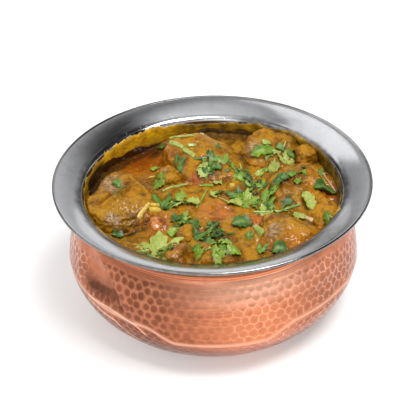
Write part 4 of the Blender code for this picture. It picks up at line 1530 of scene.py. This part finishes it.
# The larger leaves: kind, middle in millimetres, turn, length, width, tone and how far the tip is raised
LEAVES = (
    ("lobed", (-24.8, -34.5), 88, 17.5, 17.5, PALE, 6),
    ("lobed", (-23.5, -50.0), 25, 11.0, 9.0, 0.88, 4),
    ("lobe", (-18.3, -27.0), 70, 6.0, 8.0, 0.76, 10),
    ("lobed", (-22.0, -2.0), 68, 14.0, 9.0, 0.40, 8),
    ("lobe", (-17.2, -5.2), 40, 8.5, 9.0, 0.93, 6),
    ("lobe", (-9.5, -5.0), -8, 8.5, 9.5, PALE, 4),
    ("lobed", (-12.5, -16.5), -20, 8.0, 8.0, 0.80, 16),
    ("lobed", (-8.8, -20.5), 60, 8.0, 7.0, 0.42, 18),
    ("lobed", (-14.5, -23.0), -70, 7.0, 6.0, DEEP, 14),
    ("lobe", (-25.2, 52.0), -75, 4.5, 6.0, DEEP, 30),
    ("lobed", (-14.8, 22.4), 15, 6.5, 6.0, DEEP, 12),
    ("lobe", (-4.5, 17.2), -55, 7.0, 9.0, PALE, 5),
    ("lobed", (-1.5, 20.0), 30, 6.5, 6.0, 0.50, 14),
    ("lobe", (1.8, 18.5), 10, 6.0, 6.0, DEEP, 8),
    ("lobed", (16.2, -2.0), 80, 11.0, 9.5, 0.80, 10),
    ("lobed", (9.3, 0.5), 158, 10.0, 8.5, DEEP, 6),
    ("lobed", (24.6, -3.0), 74, 13.0, 8.5, 0.58, 12),
    ("lobed", (23.6, -12.0), 100, 8.5, 7.0, 0.90, 4),
    ("lobed", (30.4, 1.5), -35, 11.0, 8.0, 0.28, 12),
    ("lobe", (33.0, 4.0), 38, 8.5, 8.0, 0.22, 16),
    ("lobe", (10.5, -7.4), -18, 8.5, 7.0, 0.95, 3),
    ("lobed", (36.2, 29.0), 100, 6.5, 6.5, 0.93, 4),
    ("lobe", (38.8, 31.5), 160, 5.5, 6.0, 0.45, 6),
    ("lobe", (33.6, 34.7), -12, 4.5, 6.5, 0.42, 4),
    ("lobe", (27.0, 37.2), 30, 5.0, 5.5, 0.90, 4),
    ("lobe", (24.8, 31.2), 7, 13.0, 6.5, 0.62, 4),
    ("lobe", (29.4, 23.8), 42, 4.5, 5.0, 0.90, 6),
    ("lobe", (44.6, -8.0), -72, 14.0, 8.0, PALE, 3),
    ("lobe", (53.6, 3.4), 24, 13.5, 8.0, 0.30, 4),
    ("lobed", (52.8, 22.8), 60, 6.0, 5.5, 0.60, 14),
    ("lobe", (40.2, -17.8), 50, 7.0, 8.5, 0.92, 6),
    ("lobe", (13.4, -22.4), 12, 10.5, 11.0, 0.27, 3),
    ("lobed", (-5.6, -46.6), 5, 6.0, 5.0, 0.72, 12),
    ("lobed", (3.0, -49.0), 15, 8.5, 6.0, 0.74, 10),
    ("lobe", (9.2, -46.5), 30, 6.5, 6.5, 0.70, 8),
    ("lobed", (22.4, -41.2), 20, 6.5, 5.0, 0.52, 8),
    ("lobe", (29.5, -42.2), 8, 7.0, 7.0, DEEP, 8),
    ("lobe", (53.4, -23.2), -60, 8.0, 6.0, 0.50, 6),
    ("lobed", (22.6, 10.5), 78, 9.5, 6.5, 0.12, 10),
    ("lobe", (17.0, 15.5), 120, 8.0, 6.0, 0.15, 10),
    ("lobed", (-5.5, -30.0), 25, 9.0, 7.0, 0.36, 12),
    ("lobed", (2.5, -30.5), -25, 9.0, 6.0, 0.24, 10),
    ("lobe", (0.5, -25.0), 60, 8.0, 6.0, 0.14, 10),
    ("lobe", (5.0, -42.0), 22, 7.5, 6.0, 0.70, 5),
    ("lobed", (-7.8, -41.0), 60, 6.5, 6.0, 0.50, 12),
    ("lobe", (40.6, 3.8), 70, 5.5, 5.0, 0.60, 4),
    ("lobe", (-45.2, 3.0), -50, 5.0, 6.0, 0.40, 3),
    ("lobe", (-43.9, -26.8), -10, 6.5, 6.0, 0.20, 4),
    ("lobe", (-28.0, 30.5), 60, 4.5, 6.0, 0.72, 3),
    ("lobe", (-25.5, 12.0), 10, 6.5, 7.0, 0.62, 4),
)
LEAF_SIZE = 0.86
HERBS_REACH = 55.0
SHADE_UNDER_HERBS = 0.50

# Stems and thin strands: ends in millimetres, width in millimetres and tone
STEMS = (
    ((-23.8, 7.2), (-12.0, 13.0), 1.15, 0.93),
    ((-2.4, 6.0), (-7.6, -9.6), 0.95, 0.80),
    ((-20.5, 41.0), (-8.0, 41.5), 1.3, 0.85),
    ((-20.2, 37.6), (-13.6, 31.0), 2.5, 0.96),
    ((-13.6, 30.2), (-8.2, 24.8), 2.5, 0.93),
    ((-11.6, 32.4), (-7.4, 33.6), 2.2, 0.96),
    ((-8.4, 23.4), (0.8, 26.8), 1.1, 0.20),
    ((0.8, 26.8), (9.8, 22.0), 1.0, 0.30),
    ((18.8, -13.6), (31.0, -13.4), 1.3, 0.90),
    ((31.0, -13.4), (41.0, -8.4), 1.2, 0.50),
    ((19.2, -25.2), (22.4, -33.4), 2.8, 0.90),
    ((-46.4, -6.6), (-40.2, 2.6), 1.1, 0.55),
    ((-6.0, 10.2), (0.4, 8.4), 1.4, 0.72),
    ((7.8, -6.2), (3.0, -2.6), 0.8, 0.95),
)
# Strips of ginger and, with a higher tone, shallot
STRIPS = (
    ((-34.6, -18.6), (-29.6, -9.2), 1.7, 0.20),
    ((-29.5, -12.5), (-24.5, -9.6), 2.0, 0.05),
    ((-29.0, -9.0), (-25.0, -6.6), 1.4, 0.05),
    ((-31.0, 20.5), (-26.5, 21.5), 1.2, 0.05),
    ((53.4, 24.6), (55.4, 14.6), 0.9, 0.95),
    ((55.4, 14.6), (58.6, 5.4), 0.9, 0.85),
    ((8.4, 8.6), (10.6, 9.0), 1.8, 0.05),
    ((39.4, -15.2), (42.6, -18.0), 1.3, 0.80),
    ((43.0, -17.6), (46.0, -20.6), 2.2, 0.75),
)

# Where the fine cuttings lie thickest: middle and radius in millimetres, how many, and their mean tone
HEAPS = (
    ((-12.5, -19.5), 6.0, 8, 0.45),
    ((14.0, 16.5), 9.0, 12, 0.66),
    ((20.0, -2.0), 9.0, 11, 0.38),
    ((2.0, -31.0), 8.5, 10, 0.34),
    ((0.5, 21.0), 6.5, 7, 0.40),
    ((29.0, 30.0), 9.0, 5, 0.62),
    ((-24.0, -41.0), 8.5, 6, 0.50),
    ((33.0, -16.0), 9.0, 5, 0.50),
    ((4.0, -46.5), 8.0, 7, 0.52),
    ((-3.0, 4.0), 9.0, 3, 0.66),
    ((46.0, 10.0), 9.0, 3, 0.60),
    ((-17.0, -3.0), 6.0, 5, 0.42),
    ((0.0, 0.0), 50.0, 9, 0.60),
)
# Grains and beads: how many, their least and greatest size in millimetres, colours, roughness and coat
GRAINS = {
    "oil_beads": (150, 0.25, 0.9, [(0.45, 0.10, 0.006), (0.50, 0.20, 0.01), (0.55, 0.30, 0.03)], 0.08, 1.0),
    "spice_grains": (
        340, 0.25, 0.75, [(0.12, 0.03, 0.008), (0.45, 0.12, 0.02), (0.72, 0.45, 0.10)], 0.5, 0.3
    ),
}
GRAINS_REACH = 58.0


def food_names():
    """The pieces that herbs and grains lie on."""
    starts = ("meat_", "gravy_surface", "tomato_flesh")
    return [obj.name for obj in bpy.data.objects if obj.name.startswith(starts)]


class CURRY_OT_coriander(bpy.types.Operator):
    """Chopped coriander: leaves, fine cuttings and stems laid on the food"""

    bl_idname = "curry.coriander"
    bl_label = "Coriander"

    def execute(self, context):
        settings = context.scene.curry_herbs
        food = food_names()
        tree = solid_tree(food)
        colours = [settings.dark, settings.deep, settings.bright, settings.pale]
        leaf_finish = tinted_material("coriander leaf", colours, 0.46, 0.12, 0.00010, 900.0)
        self.leaves(tree, settings.seed, leaf_finish)
        self.cuttings(tree, settings.seed, leaf_finish)
        self.stems(tree, settings.seed, colours)
        self.darken_below(food)
        return {"FINISHED"}

    def darken_below(self, food):
        """Paints shade on the food under and close beside the herbs, by deepening its colour."""
        cover = TopMap()
        for name in ("coriander_leaves", "coriander_cuttings", "coriander_stems"):
            points = read_points(bpy.data.objects[name])
            cover.values[cover.cell(points[:, 0], points[:, 1])] = 1.0
        cover.soften(2.2)
        for name in food:
            obj = bpy.data.objects[name]
            if "depth" not in obj.data.attributes:
                continue
            points = read_points(obj)
            under = SHADE_UNDER_HERBS * ramp(0.05, 0.55, cover.read(points[:, 0], points[:, 1]))
            values = np.maximum(kept(obj, "depth"), under.astype(np.float32))
            obj.data.attributes["depth"].data.foreach_set("value", values)

    def leaves(self, tree, seed, material):
        """The larger leaves, each in its own place."""
        scatter = Scatter(tree, seed)
        templates = {kind: leaf_template(kind) for kind in ("lobed", "lobe")}
        for kind, place, turn, length, width, tone, tilt in LEAVES:
            roll = scatter.chance.uniform(-10.0, 10.0)
            size = (LEAF_SIZE * length, LEAF_SIZE * width)
            scatter.lay(templates[kind], place, turn, *size, tone, 0.35, 0.0004, tilt, roll, 0.14)
        scatter.finish("coriander_leaves", material, "gravy")

    def cuttings(self, tree, seed, material):
        """Fine cuttings, thickest in a few heaps."""
        scatter = Scatter(tree, seed + 1)
        templates = [leaf_template(kind) for kind in ("chip", "chip", "tuft", "shred")]
        chance = scatter.chance
        for middle, radius, count, tone in HEAPS:
            for _ in range(count):
                away = radius * math.sqrt(chance.random())
                turn = chance.uniform(0.0, 2.0 * math.pi)
                place = (middle[0] + away * math.cos(turn), middle[1] + away * math.sin(turn))
                if math.hypot(*place) > HERBS_REACH or (place[0] < -26.0 and place[1] > -30.0):
                    continue
                length = chance.uniform(2.8, 6.0)
                mixed = min(max(tone + chance.uniform(-0.45, 0.40), 0.0), 1.0)
                template = chance.choice(templates)
                width = length * chance.uniform(0.8, 1.3)
                tilt = chance.uniform(-6.0, 26.0)
                roll = chance.uniform(-38.0, 38.0)
                turn = chance.uniform(0.0, 360.0)
                scatter.lay(template, place, turn, length, width, mixed, 0.5, 0.0003, tilt, roll, 0.20)
        scatter.finish("coriander_cuttings", material, "gravy")

    def stems(self, tree, seed, colours):
        """Cut stems and strands, and short pieces in the heaps."""
        scatter = Scatter(tree, seed + 2, is_round=True)
        template = stem_template()
        chance = scatter.chance
        scatter.lay_stems(template, STEMS, 0.6, 0.0004)
        for middle, radius, count, tone in HEAPS[1:-1]:
            for _ in range(count // 5):
                place = tuple(at + chance.uniform(-radius, radius) for at in middle)
                length = chance.uniform(3.0, 7.0)
                turn = chance.uniform(0, 180)
                width = chance.uniform(0.6, 1.3)
                scatter.lay(template, place, turn, length, width, min(tone + 0.3, 1.0), 0.5, 0.0003)
        material = tinted_material("coriander stem", colours, 0.35, 0.4, 0.00008, 500.0)
        scatter.finish("coriander_stems", material, "gravy")


class CURRY_OT_strips(bpy.types.Operator):
    """Strips of ginger and shallot"""

    bl_idname = "curry.strips"
    bl_label = "Ginger and Shallot"

    def execute(self, context):
        scatter = Scatter(solid_tree(food_names()), 3, is_round=True)
        scatter.lay_stems(stem_template(), STRIPS, 0.5, 0.0003)
        colours = [(0.70, 0.48, 0.05), (0.66, 0.50, 0.20), (0.62, 0.33, 0.22)]
        material = tinted_material("ginger and shallot", colours, 0.30, 0.6, 0.0001, 600.0)
        scatter.finish("ginger_and_shallot", material, "gravy")
        return {"FINISHED"}


class CURRY_OT_oil_and_spice(bpy.types.Operator):
    """Beads of oil and coarse grains of spice on the food"""

    bl_idname = "curry.oil_and_spice"
    bl_label = "Oil and Spice"

    def execute(self, context):
        tree = solid_tree(food_names())
        template = self.bead_template()
        for name, (count, least, greatest, colours, roughness, coat) in GRAINS.items():
            scatter = Scatter(tree, len(name), is_round=True)
            chance = scatter.chance
            for _ in range(count):
                away = GRAINS_REACH * math.sqrt(chance.random())
                turn = chance.uniform(0.0, 2.0 * math.pi)
                place = (away * math.cos(turn), away * math.sin(turn))
                size = chance.uniform(least, greatest)
                turn = chance.uniform(0, 360)
                scatter.lay(template, place, turn, size, size * 0.9, chance.random(), 0.7, -0.00005)
            material = tinted_material(name.replace("_", " "), colours, roughness, coat, 0.00002, 900.0)
            scatter.finish(name, material, "gravy")
        return {"FINISHED"}

    def bead_template(self):
        """A flattened bead one unit across."""
        bpy.ops.object.select_all(action="DESELECT")
        bpy.ops.mesh.primitive_ico_sphere_add(subdivisions=2, radius=0.5)
        bead = bpy.context.object
        points = read_points(bead)
        points[:, 2] *= 0.45
        points[:, 0] += 0.5
        move_to(bead, points)
        store(bead, "vein", np.zeros(len(points)))
        return take_template(bead)


# Soft glows in the dim room: direction, half width in degrees and strength
ROOM_GLOWS = (
    ((0.26, 0.92, 0.36), 34.0, 0.32),
    ((-0.10, 0.80, 0.60), 36.0, 0.41),
    ((-0.24, -0.91, 0.34), 30.0, 1.15),
    ((-0.48, -0.57, 0.67), 40.0, 0.80),
    ((0.45, -0.85, 0.30), 45.0, 0.45),
    ((-0.82, 0.0, 0.57), 38.0, 1.45),
    ((0.0, 0.03, 1.0), 30.0, 0.78),
)
ROOM_LIGHT = 0.04
LIGHT_DISTANCE = 1.4
CAMERA_DISTANCE = 0.700
CAMERA_ELEVATION = 34.92
CAMERA_ROLL = -1.09
CAMERA_TARGET = Vector((-0.0013, 0.0, 0.04678))
CAMERA_LENS = 126.16


def add_panel_light(name, direction, size, power):
    """A soft rectangular light aimed at the bowl."""
    light = bpy.data.lights.new(name, "AREA")
    light.shape = "RECTANGLE"
    light.size, light.size_y = size
    light.energy = power
    obj = bpy.data.objects.new(name, light)
    bpy.context.scene.collection.objects.link(obj)
    towards = Vector(direction).normalized()
    obj.location = towards * LIGHT_DISTANCE + Vector((0.0, 0.0, 0.05))
    obj.rotation_euler = (-towards).to_track_quat("-Z", "Y").to_euler()


class CURRY_OT_stage(bpy.types.Operator):
    """Pale floor that curves up all round, soft lights and the camera"""

    bl_idname = "curry.stage"
    bl_label = "Stage"

    def execute(self, context):
        bpy.ops.object.select_all(action="DESELECT")
        bpy.ops.mesh.primitive_circle_add(vertices=96, radius=1.5, fill_type="NGON")
        floor = bpy.context.object
        bpy.ops.object.mode_set(mode="EDIT")
        bpy.ops.mesh.select_all(action="SELECT")
        bpy.ops.mesh.region_to_loop()
        extrude_rings(floor, ((1.9, 0.03), (2.2, 0.12), (2.4, 0.28), (2.5, 0.50), (2.55, 0.75)))
        bpy.ops.object.mode_set(mode="OBJECT")
        floor.name = "floor"
        material, graph, shader = new_material("white paper floor")
        paper = {"Base Color": (0.72, 0.72, 0.72), "Roughness": 0.9, "Specular IOR Level": 0.2}
        graph.fill(shader, {**paper, "Emission Color": (1.0, 1.0, 1.0), "Emission Strength": 0.31})
        floor.data.materials.append(material)
        bpy.ops.object.shade_smooth()
        add_panel_light("key", (0.27, -0.19, 0.945), (0.75, 0.65), 20.5)
        add_panel_light("back left panel", (-0.34, 0.545, 0.766), (0.70, 0.60), 1.35)
        self.make_world(context)
        self.make_camera(context)
        return {"FINISHED"}

    def make_world(self, context):
        """A dim room that glows softly from a few sides and above."""
        world = bpy.data.worlds.new("soft room")
        context.scene.world = world
        world.use_nodes = True
        graph = Graph(world.node_tree)
        way = graph.add("ShaderNodeTexCoord", {}, "Generated")
        total = ROOM_LIGHT
        for direction, spread, strength in ROOM_GLOWS:
            toward = {0: way, 1: tuple(Vector(direction).normalized())}
            near = graph.add("ShaderNodeVectorMath", toward, "Value", operation="DOT_PRODUCT")
            total = graph.step(near, math.cos(math.radians(spread)), 1.0, 0.0, strength) + total
        graph.fill(world.node_tree.nodes["Background"], {"Color": (1.0, 1.0, 1.0), "Strength": total})

    def make_camera(self, context):
        """The camera, a little above the rim and in front."""
        lens = bpy.data.cameras.new("camera")
        lens.lens = CAMERA_LENS
        lens.sensor_width = 36.0
        lens.clip_start = 0.05
        lens.clip_end = 20.0
        camera = bpy.data.objects.new("camera", lens)
        context.scene.collection.objects.link(camera)
        rise = math.radians(CAMERA_ELEVATION)
        roll = math.radians(CAMERA_ROLL)
        back = Vector((0.0, -math.cos(rise), math.sin(rise)))
        level = Vector((1.0, 0.0, 0.0))
        upward = level.cross(-back)
        right = level * math.cos(roll) + upward * math.sin(roll)
        up = -level * math.sin(roll) + upward * math.cos(roll)
        turn = Matrix((right, up, back)).transposed().to_4x4()
        camera.matrix_world = Matrix.Translation(CAMERA_TARGET + back * CAMERA_DISTANCE) @ turn
        context.scene.camera = camera
        context.scene.view_settings.view_transform = "Standard"


class CURRY_PT_bowl(bpy.types.Panel):
    """Steps that dress the bowl of curry, and their settings"""

    bl_idname = "CURRY_PT_bowl"
    bl_label = "Curry Bowl"
    bl_space_type = "VIEW_3D"
    bl_region_type = "UI"
    bl_category = "Curry Bowl"

    def draw(self, context):
        for name in SETTINGS:
            box = self.layout.box()
            group = getattr(context.scene, name)
            for setting in group.__annotations__:
                box.prop(group, setting)
        for step in STEPS:
            self.layout.operator(step.bl_idname)


STEPS = (
    CURRY_OT_copper_shell,
    CURRY_OT_steel_lining,
    CURRY_OT_gravy,
    CURRY_OT_meat,
    CURRY_OT_tomato,
    CURRY_OT_coriander,
    CURRY_OT_strips,
    CURRY_OT_oil_and_spice,
    CURRY_OT_stage,
)
SETTINGS = {"curry_bowl": BowlSettings, "curry_food": CurrySettings, "curry_herbs": HerbSettings}


def register():
    for name, group in SETTINGS.items():
        bpy.utils.register_class(group)
        setattr(bpy.types.Scene, name, bpy.props.PointerProperty(type=group))
    for made in (*STEPS, CURRY_PT_bowl):
        bpy.utils.register_class(made)


def unregister():
    for made in reversed((*STEPS, CURRY_PT_bowl)):
        bpy.utils.unregister_class(made)
    for name, group in SETTINGS.items():
        delattr(bpy.types.Scene, name)
        bpy.utils.unregister_class(group)


def main():
    """Registers the add-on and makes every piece."""
    register()
    for step in STEPS:
        area, name = step.bl_idname.split(".")
        getattr(getattr(bpy.ops, area), name)()


if __name__ == "__main__":
    main()
